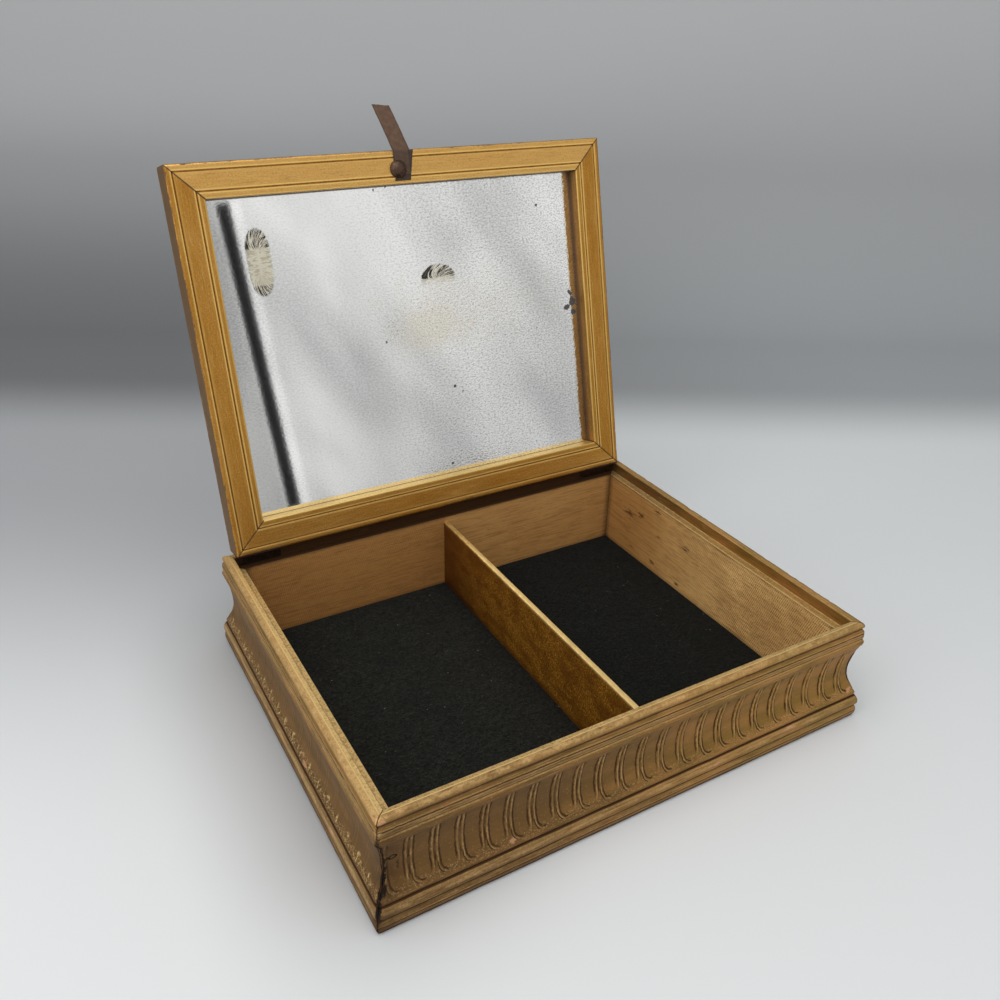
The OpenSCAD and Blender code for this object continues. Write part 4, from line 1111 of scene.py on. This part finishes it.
class VANITY_OT_felt(Work):
    """Lays the felt in the two compartments"""

    bl_idname = "vanity.felt"
    bl_label = "Felt"

    def build(self, scene):
        felt = black_felt(scene.vanity_lining)
        for side, seed in (("left", 5), ("right", 11)):
            low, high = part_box("felt_" + side)
            made = self.lay("felt_lining_" + side, low, high, felt, seed)

    def lay(self, name, low, high, felt, seed):
        step = 1.1
        nx, ny = int((high.x - low.x) / MM / step), int((high.y - low.y) / MM / step)
        x, y = np.linspace(low.x, high.x, nx + 1) / MM, np.linspace(low.y, high.y, ny + 1) / MM
        gx, gy = np.meshgrid(x, y, indexing="ij")
        thick = (high.z - low.z) / MM
        edge = np.minimum(np.minimum(gx - x[0], x[-1] - gx), np.minimum(gy - y[0], y[-1] - gy))
        top = thick - 0.18 + 0.12 * cloud(gx / 26, gy / 26, seed, 2) + 0.05 * cloud(gx / 2.2, gy / 2.2, seed + 3, 2)
        top = top - 0.45 * (1 - rise(edge, 0, 2.0))
        sway = 0.16 * cloud(gx / 9, gy / 9, seed + 8, 2)
        gx = np.clip(gx + sway, x[0], x[-1])
        gy = np.clip(gy + sway, y[0], y[-1])
        up = low.z / MM + np.stack([top, np.zeros_like(top) + 0.03], 0)
        points = np.stack([np.stack([gx, gx]), np.stack([gy, gy]), up], -1).reshape(-1, 3) * MM
        grid = np.arange(2 * (nx + 1) * (ny + 1)).reshape(2, nx + 1, ny + 1)
        return piece(name, points, slab_faces(grid), "box", "felt", ["felt_" + name.split("_")[-1]], [felt], sharp=60)


def slab_faces(grid):
    """Faces of a slab whose top and bottom are grids of points, the top first."""
    top, bottom = grid
    faces = np.stack([top[:-1, :-1], top[1:, :-1], top[1:, 1:], top[:-1, 1:]], -1).reshape(-1, 4).tolist()
    faces += np.stack([bottom[:-1, :-1], bottom[:-1, 1:], bottom[1:, 1:], bottom[1:, :-1]], -1).reshape(-1, 4).tolist()
    for a, b in ((top[:, 0], bottom[:, 0]), (top[::-1, -1], bottom[::-1, -1]),
                 (top[0, ::-1], bottom[0, ::-1]), (top[-1], bottom[-1])):
        faces += np.stack([a[:-1], b[:-1], b[1:], a[1:]], -1).tolist()
    return faces


class VANITY_OT_divider(Work):
    """Builds the thin board between the compartments"""

    bl_idname = "vanity.divider"
    bl_label = "Divider"

    def build(self, scene):
        low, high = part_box("divider")
        x0, x1, z0, z1 = low.x / MM, high.x / MM, low.z / MM, high.z / MM
        r = 0.5
        rows = dense([(x0, z0), (x1, z0)], 1.0) + dense([(x1, z0), (x1, z1 - r)], 1.5)[1:]
        rows += [(x1 - r + r * math.cos(a), z1 - r + r * math.sin(a)) for a in np.linspace(0.4, math.pi / 2, 3)]
        rows += [((x0 + x1) / 2, z1)]
        rows += [(x0 + r - r * math.sin(a), z1 - r + r * math.cos(a)) for a in np.linspace(0, math.pi / 2 - 0.4, 3)]
        rows += dense([(x0, z1 - r), (x0, z0)], 1.5)[:-1]
        rows = np.array(rows)
        y = np.linspace(low.y, high.y, 190) / MM
        gx, gy = np.meshgrid(rows[:, 0], y, indexing="ij")
        gz = np.repeat(rows[:, 1:], len(y), 1)
        wavy = 0.07 * cloud(gy / 24, gz / 10, 91, 3)
        side = np.sign(gx - (x0 + x1) / 2)
        shift = np.clip(wavy, -0.1, 0.02) * side * (np.abs(gx - (x0 + x1) / 2) > 1)
        gz = gz - np.where(gz > z1 - 0.8, 0.16 * np.abs(cloud(gy / 3.2, gx, 95, 3)), 0)
        points = np.stack([gx + shift, gy, gz], -1).reshape(-1, 3) * MM
        n, m = gx.shape
        grid = np.arange(n * m).reshape(n, m)
        after = np.roll(grid, -1, 0)
        faces = np.stack([grid[:, :-1], after[:, :-1], after[:, 1:], grid[:, 1:]], -1).reshape(-1, 4).tolist()
        faces = [f[::-1] for f in faces] + [grid[:, 0].tolist(), grid[::-1, -1].tolist()]
        # Painted highlight along the top, fading towards the back, and painted shade towards the back and the foot.
        top = rise(gz, z1 - 1.0, z1 - 0.35)
        shade = np.clip(rise(gy, 30, 98) * 0.75 + 0.6 * (1 - rise(gz, z0 + 1.5, z0 + 6)), 0, 0.9) * (1 - top)
        light = top * np.clip(0.95 - 0.45 * rise(gy, 10, 95) + 0.3 * cloud(gy / 2.5, gx, 99, 2), 0, 1)
        stick = np.stack([gy, gx, gz], -1).reshape(-1, 3)
        piece("divider_board", points, faces, "box", "gilt_divider", ["divider"], [divider_gilt(scene.vanity_lining)],
              stick=stick, rub=light.ravel(), recess=shade.ravel())


class VANITY_OT_lid_frame(Work):
    """Builds the lid's four mitred rails"""

    bl_idname = "vanity.lid_frame"
    bl_label = "Lid frame"

    def build(self, scene):
        s = scene.vanity_lid
        self.s = s
        gilt = lid_gilt(s)
        self.face, thick = 53.9, 17.0
        half_x, half_y, middle_y = 129.0, 102.75, 0.15
        section = self.section(s, self.face, thick)
        for k, side in enumerate(("front", "back", "left", "right")):
            self.side, self.seed = side, 500 + 30 * k
            self.half = half_x if side in ("front", "back") else half_y
            columns = np.linspace(-self.half, self.half, int(2 * self.half / 0.85))
            (along, out, up), marks, faces, rows = sweep(section, columns, self.half, self.relief, gap=self.gap)
            out, up = self.cleared(along, out, up)
            place = side_place(side, half_x, half_y, middle_y)
            points = swung(place(along, out, up)).reshape(-1, 3) * MM
            stick = np.stack([along + 300 * k, out, up], -1).reshape(-1, 3)
            piece("lid_frame_" + side, points, faces, "lid", "gilt_lid", ["lid_rail_" + side], [gilt],
                  stick=stick, **{k: v.ravel() for k, v in marks.items()})

    def section(self, s, face, thick):
        """The rail's outline from its sight edge along the face, up the outside and back."""
        wide, r = mm(s, "rail_width"), mm(s, "arris")
        deep, cover = mm(s, "mirror_in"), mm(s, "overlap")
        g, w = mm(s, "groove_in"), mm(s, "groove_width") / 2
        rows = [(-wide + 0.25, face)]
        for a in (wide - g, g):
            start = rows[-1][0]
            rows += dense([(start, face), (-a - w, face)], 0.8)[1:]
            rows += [(-a - w / 2, face + w * 0.62), (-a, face + w * 1.2), (-a + w / 2, face + w * 0.62), (-a + w, face)]
        rows += dense([rows[-1], (-r, face)], 0.8)[1:]
        rows += [(-r + r * math.sin(a), face + r - r * math.cos(a)) for a in np.linspace(0.25, math.pi / 2, 6)]
        rows += dense([rows[-1], (0, face + thick - r)], 1.1)[1:]
        rows += [(-r + r * math.cos(a), face + thick - r + r * math.sin(a)) for a in np.linspace(0.3, math.pi / 2, 5)]
        rows += dense([rows[-1], (-wide + cover, face + thick)], 1.3)[1:]
        rows += dense([rows[-1], (-wide + cover, face + deep)], 1.5)[1:]
        rows += dense([rows[-1], (-wide, face + deep)], 1.1)[1:]
        rows += dense([rows[-1], (-wide, face + 0.25)], 1.0)[1:]
        return rows

    def gap(self, out, up, start):
        return 0.03 + 0.05 * np.abs(cloud(out / 5.0, up / 5.0, self.seed + 2, 2))

    def relief(self, along, out, up):
        s, seed, face = self.s, self.seed, self.face
        wide, g = mm(s, "rail_width"), mm(s, "groove_in")
        edge = self.half + out - np.abs(along)
        on_face = up < face + 1.0
        seen = on_face | (out < -wide + 0.3) | (out > -1.3)
        lumps = cloud(along / 9, out / 5, seed + 4, 3)
        fine = cloud(along / 2.6, out / 1.6, seed + 9, 3)
        lift = np.where(seen, 0.05 * lumps + 0.025 * fine, 0)
        nicks = rise(cloud(along / 3.5, up / 3.5 + out / 3, seed + 15, 2), 0.42, 0.6)
        arris = bump(out, -0.45, 0.6) * bump(up, face + 0.45, 0.9)
        sight = bump(out, -wide + 0.1, 0.35) * bump(up, face + 0.1, 0.5)
        lift -= 0.22 * nicks * np.clip(arris + 0.3 * sight, 0, 1)
        joint = (1 - rise(edge, 0.05, 0.45))
        lift -= np.where(seen, 0.16 * joint, 0)
        recess = (1 - rise(edge, 0.2, 0.85)) * 1.2
        rub = np.zeros_like(lift)
        # Dark grooves, each with painted highlights along both sides.
        for a in (g, wide - g):
            line = on_face * bump(out, -a, 0.3)
            recess = recess + line * (0.75 + 0.4 * fine)
            for b in (-1, 1):
                rub = rub + on_face * bump(out, -a + b * 0.8, 0.28) * 0.85
        wear = 0.9 * (out > -1.3) * rise(up, face + 0.2, face + 1.2)
        wear = wear + 0.62 * rise(out, -2.0, -0.5) * (0.7 + 0.6 * lumps)
        wear = wear + 0.5 * nicks * on_face * 0.4
        # Sight edges: painted shade on the right rail's; on the bottom rail's, a painted highlight with painted shade
        # along its deepest part.
        flank = (out < -wide + 0.3) & (up > face + 0.4) & (up < face + 8.3)
        if self.side == "right":
            recess = recess + flank * (0.45 + 0.5 * rise(up, face + 4, face + 8))
        elif self.side == "back":
            rub = rub + 1.2 * flank * (1 - rise(up, face + 6.8, face + 7.6))
            recess = recess + flank * 0.9 * rise(up, face + 7.0, face + 7.8)
        hidden = (up > face + 12) & (out > -17)
        wear = np.where(hidden, 0.7 + 0.2 * lumps + 0.1 * fine, wear)
        rub = rub + sight * 0.8
        # Painted shadow on the top rail's sight edge.
        if self.side == "front":
            recess = recess + 1.1 * (out < -wide + 0.2) * bump(up, face + 8.2, 3.4)
        # Painted light: the top rail lighter than the side and bottom rails.
        tone = {"front": 1.0, "back": 0.2, "left": 0.15, "right": 0.05}[self.side] + 0 * lift
        return lift, {"recess": np.clip(recess, 0, 1.2), "rub": np.clip(rub, 0, 1), "wear": np.clip(wear, 0, 1),
                      "tone": tone}

    def cleared(self, along, out, up):
        """Clears the hinges' leaves and knuckles from the back rail's edge."""
        if self.side != "back":
            return out, up
        axis = np.array(HINGE["pos_m"]) / MM
        low, high = hinge_reach()
        near = (np.abs(along) > low) & (np.abs(along) < high)
        leaf = near & (out > -0.95) & (up < axis[2] + 0.05)
        out = np.where(leaf, np.minimum(out, -0.9), out)
        o, z = out - (axis[1] - 102.9), up - axis[2]
        d = np.hypot(o, z)
        push = np.where(near & (d < 1.8), 1.8 / np.maximum(d, 0.05), 1.0)
        return out + o * (push - 1), up + z * (push - 1)


class VANITY_OT_mirror(Work):
    """Builds the old mirror, its card and the lid's outer panel"""

    bl_idname = "vanity.mirror"
    bl_label = "Mirror"

    def build(self, scene):
        s = scene.vanity_mirror
        wide, deep, back = 228.8, 176.3, 102.9
        step = 0.9
        x = np.linspace(-wide / 2, wide / 2, int(wide / step) + 1)
        y = 0.15 + np.linspace(-deep / 2, deep / 2, int(deep / step) + 1)
        gx, gy = np.meshgrid(x, y, indexing="ij")
        w = back - gy
        marks = self.marks(gx, w)
        swell = cloud(gx / 2.4, w / 1.7, 301, 2) * marks["rippled"]
        broad = cloud(gx / 16, w / 20, 305, 2) * rise(gx, -85, -20)
        lift = mm(s, "ripple") * swell + 0.02 * broad
        face, thick = 62.1, 3.0
        z = np.stack([face - lift, face + thick + 0 * lift], 0)
        closed = np.stack([np.stack([gx, gx]), np.stack([gy, gy]), z], -1)
        points = swung(closed).reshape(-1, 3) * MM
        n, m = gx.shape
        grid = np.arange(2 * n * m).reshape(2, n, m)
        faces = [f[::-1] for f in slab_faces(grid)]
        both = {k: np.concatenate([v.ravel(), v.ravel()]) for k, v in marks.items()}
        glass = np.stack([np.stack([gx, gx]), np.stack([w, w]), z * 0], -1).reshape(-1, 3)
        piece("mirror_plate", points, faces, "lid", "mirror", ["mirror_glass"], [old_mirror(s)], glass=glass, **both)
        finish_nodes(old_card(), "mirror_card")
        panel = board_wood("lid_panel_wood", paint(168, 138, 92), paint(112, 84, 48))
        finish_nodes(panel, "lid_panel")

    def marks(self, x, w):
        """Where the silvering is clouded, stained, feathered or gone. The clouding also carries painted reflection."""
        sway = cloud(x / 9, w / 9, 331, 3)
        fern = cloud(x / 2.0, w / 2.6, 341, 4)

        def patch(cx, cw, rx, rw, soft=0.35, ragged=0.35):
            d = np.hypot((x - cx) / rx, (w - cw) / rw) + ragged * sway
            return 1 - rise(d, 1 - soft, 1 + soft)

        stain = np.clip(np.maximum(0.9 * patch(10, 107, 26, 11, 0.75, 0.6), 0.5 * patch(14, 121, 13, 14, 0.7)), 0, 1)
        stain = np.maximum(stain, 0.3 * patch(32, 114, 42, 17, 0.8, 0.8))
        grains = np.maximum(0.9 * patch(-17, 109, 9, 9, 0.6), 0.55 * patch(26, 112, 48, 13, 0.8, 0.9))
        grains = np.maximum(grains, 0.8 * patch(76, 99, 15, 10, 0.7, 0.6))
        lost = 0.0 * x
        for cx, cw, r in ((107, 110, 3.6), (103, 106, 2.4), (108, 103, 2.6), (105, 116, 2.6), (-22, 103, 1.2)):
            lost = np.maximum(lost, 0.95 * (1 - rise(np.hypot(x - cx, w - cw) / r + 0.8 * fern, 0.3, 1.3)))
        for cx, cw, r in ((86.2, 169.9, 1.2), (-10.7, 187.2, 1.0), (-18, 186.1, 0.9), (18.4, 70.2, 1.2),
                          (23.4, 66.3, 1.0), (11.2, 23.3, 1.1)):
            lost = np.maximum(lost, 1 - rise(np.hypot(x - cx, w - cw), r * 0.5, r))
        # Tarnish with painted reflection: soft diagonal bands, darker in the middle and lighter towards the upper
        # right.
        bands = cloud((x + 0.55 * w) / 38, (w - 0.5 * x) / 90, 351, 3)
        middle = np.exp(-(((x + 20) / 45) ** 2) - ((w - 95) / 40) ** 2)
        shine = rise(x, 10, 90) * rise(w, 90, 170)
        tarnish_and_reflection = np.clip(0.3 + 0.45 * middle - 1.0 * bands - 0.35 * shine, 0, 1)
        return {"stain": stain, "lost": lost, "tarnish_and_reflection": tarnish_and_reflection, "grains": grains, "rippled": 0.02 + 1.4 * rise(x, -75, 70)}


class VANITY_OT_hinges(Work):
    """Finishes the two dark butt hinges"""

    bl_idname = "vanity.hinges"
    bl_label = "Hinges"

    def build(self, scene):
        leaf = iron("dark_hinge_iron", paint(52, 42, 36), paint(84, 54, 36), 0.7)
        finish_nodes(leaf, *(n for n in frame["nodes"] if n.startswith("hinge_")))


class VANITY_OT_pull(Work):
    """Builds the ribbon pull and the tack that holds it"""

    bl_idname = "vanity.pull"
    bl_label = "Ribbon pull"

    def build(self, scene):
        s = scene.vanity_pull
        ribbon = corded_ribbon(s)
        face, back, edge = 53.9, 102.9, -102.6
        tack_x, tack_y = -5.1, -92.7
        wide, thin = mm(s, "ribbon_width"), mm(s, "ribbon_thickness")
        upper = self.strip(
            [(tack_x + 2.7, tack_y + 3.1), (tack_x + 2.7, edge)], (tack_x + 2.7, edge), math.radians(21), 24.5, wide
        )
        made = self.ribbon("ribbon_pull", upper, wide, thin, face - 2 * thin + 0.02, ribbon, 0.0)
        axis = np.array(HINGE["pos_m"])
        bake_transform(made)
        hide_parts("ribbon_fold", "pull_tab")
        lean = math.tan(math.radians(11.5))
        tail = [(tack_x + 3.4 - 6.2 * lean, tack_y + 6.2), (tack_x + 3.4 + 9.8 * lean, edge + 0.15)]
        under = self.ribbon("ribbon_tail", (tail, None, 0, 0, wide), wide, thin, face - thin + 0.01, ribbon, 0.25)
        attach(under, "lid")
        self.tack(s, tack_x, tack_y, face)

    def strip(self, flat_run, corner, lean, past, wide):
        return flat_run, corner, lean, past, wide

    def ribbon(self, name, strip, wide, thin, low, material, shade):
        """A length of ribbon in the lid's plane: straight, then leaning past the corner."""
        (a, b), corner, lean, past, _ = strip
        a, b = np.array(a, float), np.array(b, float)
        first = np.linalg.norm(b - a)
        total = first + past
        rows = int(total / 0.45)
        t = np.linspace(0, total, rows + 1)
        cross = np.linspace(-1, 1, 17)
        run = (b - a) / first
        tilt = np.array([-math.sin(lean), -math.cos(lean)]) if past else run
        middle = np.where(
            (t <= first)[:, None], a + run * t[:, None], b + tilt / math.cos(lean if past else 0) * (t - first)[:, None] * (math.cos(lean) if past else 1)
        )
        y = middle[:, 1]
        half = np.where(t <= first, wide / 2, wide / 2 / math.cos(lean))
        fray = 0.07 * noise(t / 0.9, 0 * t, 411)
        gx = middle[:, :1] + cross[None, :] * (half + fray)[:, None]
        gy = np.repeat(y[:, None], len(cross), 1)
        over = np.clip((t - first) / max(past, 1), 0, 1)[:, None]
        if past:
            gy = gy + cross[None, :] * over * 0.5 - 0.25 * over * np.abs(noise(cross * 3, 0 * cross, 415))[None, :]
        sag = 0.35 * np.sin(over * math.pi) * past / 24 + 0.12 * np.sin(cross * 2.6 + 3 * over) * over
        cord = 0.04 * np.sin(t / 0.62 * 2 * math.pi)[:, None] * (0.6 + 0.4 * np.abs(cross))[None, :]
        rise_up = low - np.zeros_like(gx) - sag
        top = rise_up - np.abs(cord)
        bottom = rise_up + thin * 0.92
        closed = np.stack([np.stack([gx, gx]), np.stack([gy, gy]), np.stack([top, bottom])], -1)
        points = swung(closed).reshape(-1, 3) * MM
        n, m = gx.shape
        grid = np.arange(2 * n * m).reshape(2, n, m)
        faces = slab_faces(grid)
        across = np.repeat(cross[None, :], n, 0) * wide / 2
        stick = np.stack([across, np.repeat(t[:, None], m, 1), 0 * across], -1)
        stick = np.concatenate([stick.reshape(-1, 3), stick.reshape(-1, 3)])
        # Painted shade: along both edges, on the part lying on the lid, and over a whole layer by its shade.
        side = np.exp(-((np.abs(cross) - 1) / 0.09) ** 2)[None, :] * 0.55
        on_lid = (1 - rise(t, first - 1.5, first + 0.5))[:, None] * 0.45
        dark = np.clip(side + on_lid + shade + 0 * gx, 0, 0.85)
        return piece(name, points, faces, None, "ribbon", [], [material], sharp=70, stick=stick,
                     recess=np.concatenate([dark.ravel(), dark.ravel()]))

    def tack(self, s, x, y, face):
        """Hammered dome with a shank."""
        r, h = mm(s, "tack_radius"), mm(s, "tack_height")
        base = face - 0.6
        ball = (r * r + h * h) / (2 * h)
        rings, around = 22, 64
        radius = r * np.sin(np.linspace(0, math.pi / 2, rings + 1)[1:])
        turn = np.linspace(0, 2 * math.pi, around, endpoint=False)
        gr, gt = np.meshgrid(radius, turn, indexing="ij")
        depth = np.sqrt(ball**2 - gr**2) - (ball - h)
        px, py = gr * np.cos(gt), gr * np.sin(gt)
        facets = 0.16 * cloud(px / 1.9 + 8, py / 1.9 + 8, 441, 2) * rise(r - gr, 0.1, 1.0)
        depth = np.maximum(depth + np.minimum(facets, 0.04), 0.0)
        dome = np.stack([x + px, y + py, base - depth], -1).reshape(-1, 3)
        tip = [[x, y, base - h]]
        rim = np.stack([x + r * np.cos(turn), y + r * np.sin(turn), np.full(around, base + 0.12)], -1)
        shank_r, shank = 0.8, 9.0
        neck = np.stack([x + shank_r * np.cos(turn), y + shank_r * np.sin(turn), np.full(around, base + 0.12)], -1)
        foot = neck + [0, 0, shank - 2]
        points = np.concatenate([tip, dome, rim, neck, foot, [[x, y, base + shank]]])
        faces = [[0, 1 + k, 1 + (k + 1) % around] for k in range(around)]
        loops = [np.arange(around) + 1 + k * around for k in range(rings + 3)]
        for a, b in zip(loops, loops[1:]):
            faces += np.stack([a, b, np.roll(b, -1), np.roll(a, -1)], -1).tolist()
        last = len(points) - 1
        faces += [[int(loops[-1][k]), last, int(loops[-1][(k + 1) % around])] for k in range(around)]
        metal = iron("tack_iron", s.iron, paint(66, 45, 34), 0.75)
        piece("pull_tack_head", swung(points) * MM, faces, "lid", "dark_iron", ["pull_tack"], [metal], sharp=50)


class VANITY_OT_stage(Work):
    """Sets up the floor, backdrop, lights and camera"""

    bl_idname = "vanity.stage"
    bl_label = "Stage"

    def build(self, scene):
        s = scene.vanity_stage
        self.floor(s)
        self.world(scene, s)
        self.lamp("key", (-0.35, -0.26, 1.23), (0.0, 0.05, 0.05), 1.2, 8.0)
        self.lamp("fill", (-0.85, -0.12, 0.5), (0.12, -0.05, 0.03), 0.35, 0.8)
        data = bpy.data.cameras.new("camera")
        data.lens, data.sensor_width = s.lens, 36
        data.clip_start = 0.01
        view = bpy.data.objects.new("camera", data)
        view.location = (-0.223884, -0.349011, 0.339042)
        view.rotation_mode = "QUATERNION"
        view.rotation_quaternion = Quaternion((0.832417, 0.490914, -0.139062, -0.216211))
        scene.collection.objects.link(view)
        scene.camera = view
        scene.view_settings.view_transform = "Standard"

    def floor(self, s):
        """A floor that turns up into a backdrop far behind the box. Its paint carries painted light and shade: paler
        towards the front and higher up, greyer to the left, with a painted shadow on the floor left of the box.
        """
        front, back, radius = -1.25, 0.58, 0.16
        profile = [(front, 0.0), (back, 0.0)]
        profile += [(back + radius * math.sin(a), radius - radius * math.cos(a)) for a in np.linspace(0.1, math.pi / 2, 14)]
        profile += [(back + radius, 3.0)]
        turn = math.radians(29.77)
        along, across = np.array([math.sin(turn), math.cos(turn)]), np.array([math.cos(turn), -math.sin(turn)])
        points = []
        for y, z in profile:
            for x in np.linspace(-16, 16, 9):
                points.append((*(along * y + across * x), z))
        n = 9
        faces = [(i * n + j, i * n + j + 1, (i + 1) * n + j + 1, (i + 1) * n + j)
                 for i in range(len(profile) - 1) for j in range(n - 1)]
        mesh = bpy.data.meshes.new("floor")
        mesh.from_pydata([[float(c) for c in p] for p in points], [], faces)
        mesh.polygons.foreach_set("use_smooth", np.ones(len(mesh.polygons), bool))
        f = Finish("pale_floor", Roughness=0.75, Specular_IOR_Level=0.2)
        x, y, z = f.xyz(f.place())
        depth = f.math("ADD", f.math("MULTIPLY", x, math.sin(turn)), f.math("MULTIPLY", y, math.cos(turn)))
        across = f.math("SUBTRACT", f.math("MULTIPLY", x, math.cos(turn)), f.math("MULTIPLY", y, math.sin(turn)))
        # Painted shade: greyer to the left, on the backdrop and on the floor behind the box.
        leftness = f.span(across, 0.42, -0.36)
        grey = f.mix(leftness, s.backdrop, s.gloom)
        left = f.math("MULTIPLY", f.span(across, 0.05, -0.26), f.span(depth, -0.14, 0.22))
        # Painted light: paler towards the front.
        floor = f.mix(f.span(depth, 0.2, -0.28), s.floor, paint(230, 232, 233))
        floor = f.mix(f.math("MULTIPLY", left, 0.82), floor, paint(158, 160, 163))
        floor = f.mix(f.span(depth, -0.55, front), floor, paint(250, 250, 251))
        # Painted shadow of the box on the floor to its left.
        off_left = f.math("SUBTRACT", CAD_BOX[0].x, x)
        off = f.math("MAXIMUM", off_left, 0.0)
        shaded = f.join("MULTIPLY", f.span(off, 0.07, -0.015), f.span(y, -0.17, -0.05), f.span(y, 0.2, 0.08),
                        f.span(off_left, -0.12, 0.0))
        floor = f.mix(f.math("MULTIPLY", shaded, 0.6), floor, paint(132, 131, 130))
        base = f.mix(f.span(depth, 0.31, 0.45), floor, grey)
        # Painted light: the backdrop paler higher up.
        climb = f.math("MULTIPLY", z, f.math("ADD", 1.0, f.math("MULTIPLY", leftness, 0.45)))
        base = f.mix(f.span(climb, 0.0, 0.36), base, s.backdrop_top_light)
        f.put(f.surface.inputs["Base Color"], base)
        mesh.materials.append(f.material)
        made = bpy.data.objects.new("floor", mesh)
        bpy.context.scene.collection.objects.link(made)

    def world(self, scene, s):
        world = bpy.data.worlds.new("studio")
        scene.world = world
        world.use_nodes = True
        f = Nodes(world.node_tree)
        path = f.add("ShaderNodeLightPath").outputs
        seen = f.math("MAXIMUM", path["Is Camera Ray"], path["Is Glossy Ray"])
        way = f.add("ShaderNodeTexCoord").outputs["Generated"]
        up = f.xyz(way)[2]
        pale = f.span(up, -0.1, 0.3, 0.64, 0.8)
        across = f.add("ShaderNodeVectorMath", {"operation": "DOT_PRODUCT"}, i0=way, i1=(-0.9695, -0.2451, -0.0081))
        ahead = f.add("ShaderNodeVectorMath", {"operation": "DOT_PRODUCT"}, i0=way, i1=(0.2451, -0.9695, 0.0))
        across, facing = across.outputs["Value"], f.span(ahead.outputs["Value"], 0.5, 0.6)
        shown = f.join("MULTIPLY", facing, path["Is Glossy Ray"])
        folds = f.noise(f.scaled(way, 9.0, 9.0, 1.6), 1.0, 3, 0.55)
        shadowed = f.join("MULTIPLY", f.span(across, 0.006, 0.012), f.span(folds, 0.4, 0.6, 0.0, 0.3))
        folded = f.join("MULTIPLY", f.span(folds, 0.42, 0.62), 0.16)
        darker = f.join("MULTIPLY", f.math("ADD", folded, shadowed), shown)
        pale = f.math("MULTIPLY", pale, f.math("SUBTRACT", 1.08, darker))
        gleam = f.join("MULTIPLY", f.near(across, -0.0118, 0.0075), f.span(up, 0.27, 0.26), shown, 0.2)
        pale = f.math("ADD", pale, gleam)
        stand = f.join("MULTIPLY", f.span(f.math("ABSOLUTE", across), 0.0076, 0.0058), f.span(up, 0.27, 0.262), shown)
        pale = f.math("MULTIPLY", pale, f.math("SUBTRACT", 1.0, f.math("MULTIPLY", stand, 0.995)))
        shiny = path["Is Glossy Ray"]
        plain_wall = f.math("MULTIPLY", f.math("SUBTRACT", 1.0, shiny), 0.47)
        pale = f.math("ADD", f.math("MULTIPLY", pale, shiny), plain_wall)
        plain = f.add("ShaderNodeBackground", i0=(1, 1, 1, 1), i1=0.62)
        bright = f.add("ShaderNodeBackground", i0=(1, 1, 1, 1), i1=pale)
        both = f.add("ShaderNodeMixShader", i0=seen, i1=plain.outputs[0], i2=bright.outputs[0])
        f.add("ShaderNodeOutputWorld", i0=both.outputs[0])

    def lamp(self, name, place, target, size, power):
        data = bpy.data.lights.new(name, "AREA")
        data.energy, data.size = power, size
        made = bpy.data.objects.new(name, data)
        made.location = place
        made.rotation_euler = (Vector(target) - Vector(place)).to_track_quat("-Z", "Y").to_euler()
        bpy.context.scene.collection.objects.link(made)


STEPS = (VANITY_OT_moulding, VANITY_OT_base, VANITY_OT_felt, VANITY_OT_divider, VANITY_OT_lid_frame,
         VANITY_OT_mirror, VANITY_OT_hinges, VANITY_OT_pull, VANITY_OT_stage)
SETTINGS = {"vanity_moulding": MouldingSettings, "vanity_lid": LidSettings, "vanity_mirror": MirrorSettings,
            "vanity_lining": LiningSettings, "vanity_pull": PullSettings, "vanity_stage": StageSettings}


class VANITY_PT_panel(Panel):
    """Lists the pieces and their settings"""

    bl_idname = "VANITY_PT_panel"
    bl_label = "Vanity box"
    bl_space_type = "VIEW_3D"
    bl_region_type = "UI"
    bl_category = "Vanity box"

    def draw(self, context):
        column = self.layout.column()
        for step in STEPS:
            column.operator(step.bl_idname)
        for name, group in SETTINGS.items():
            box = column.box()
            box.label(text=name.split("_")[1].capitalize())
            settings = getattr(context.scene, name)
            for setting in group.__annotations__:
                box.prop(settings, setting)


def register():
    for group in SETTINGS.values():
        bpy.utils.register_class(group)
    for step in (*STEPS, VANITY_PT_panel):
        bpy.utils.register_class(step)
    for name, group in SETTINGS.items():
        setattr(bpy.types.Scene, name, PointerProperty(type=group))


def unregister():
    for name in SETTINGS:
        delattr(bpy.types.Scene, name)
    for each in (VANITY_PT_panel, *reversed(STEPS), *SETTINGS.values()):
        bpy.utils.unregister_class(each)


def main():
    register()
    for step in STEPS:
        group, name = step.bl_idname.split(".")
        getattr(getattr(bpy.ops, group), name)()


if __name__ == "__main__":
    main()
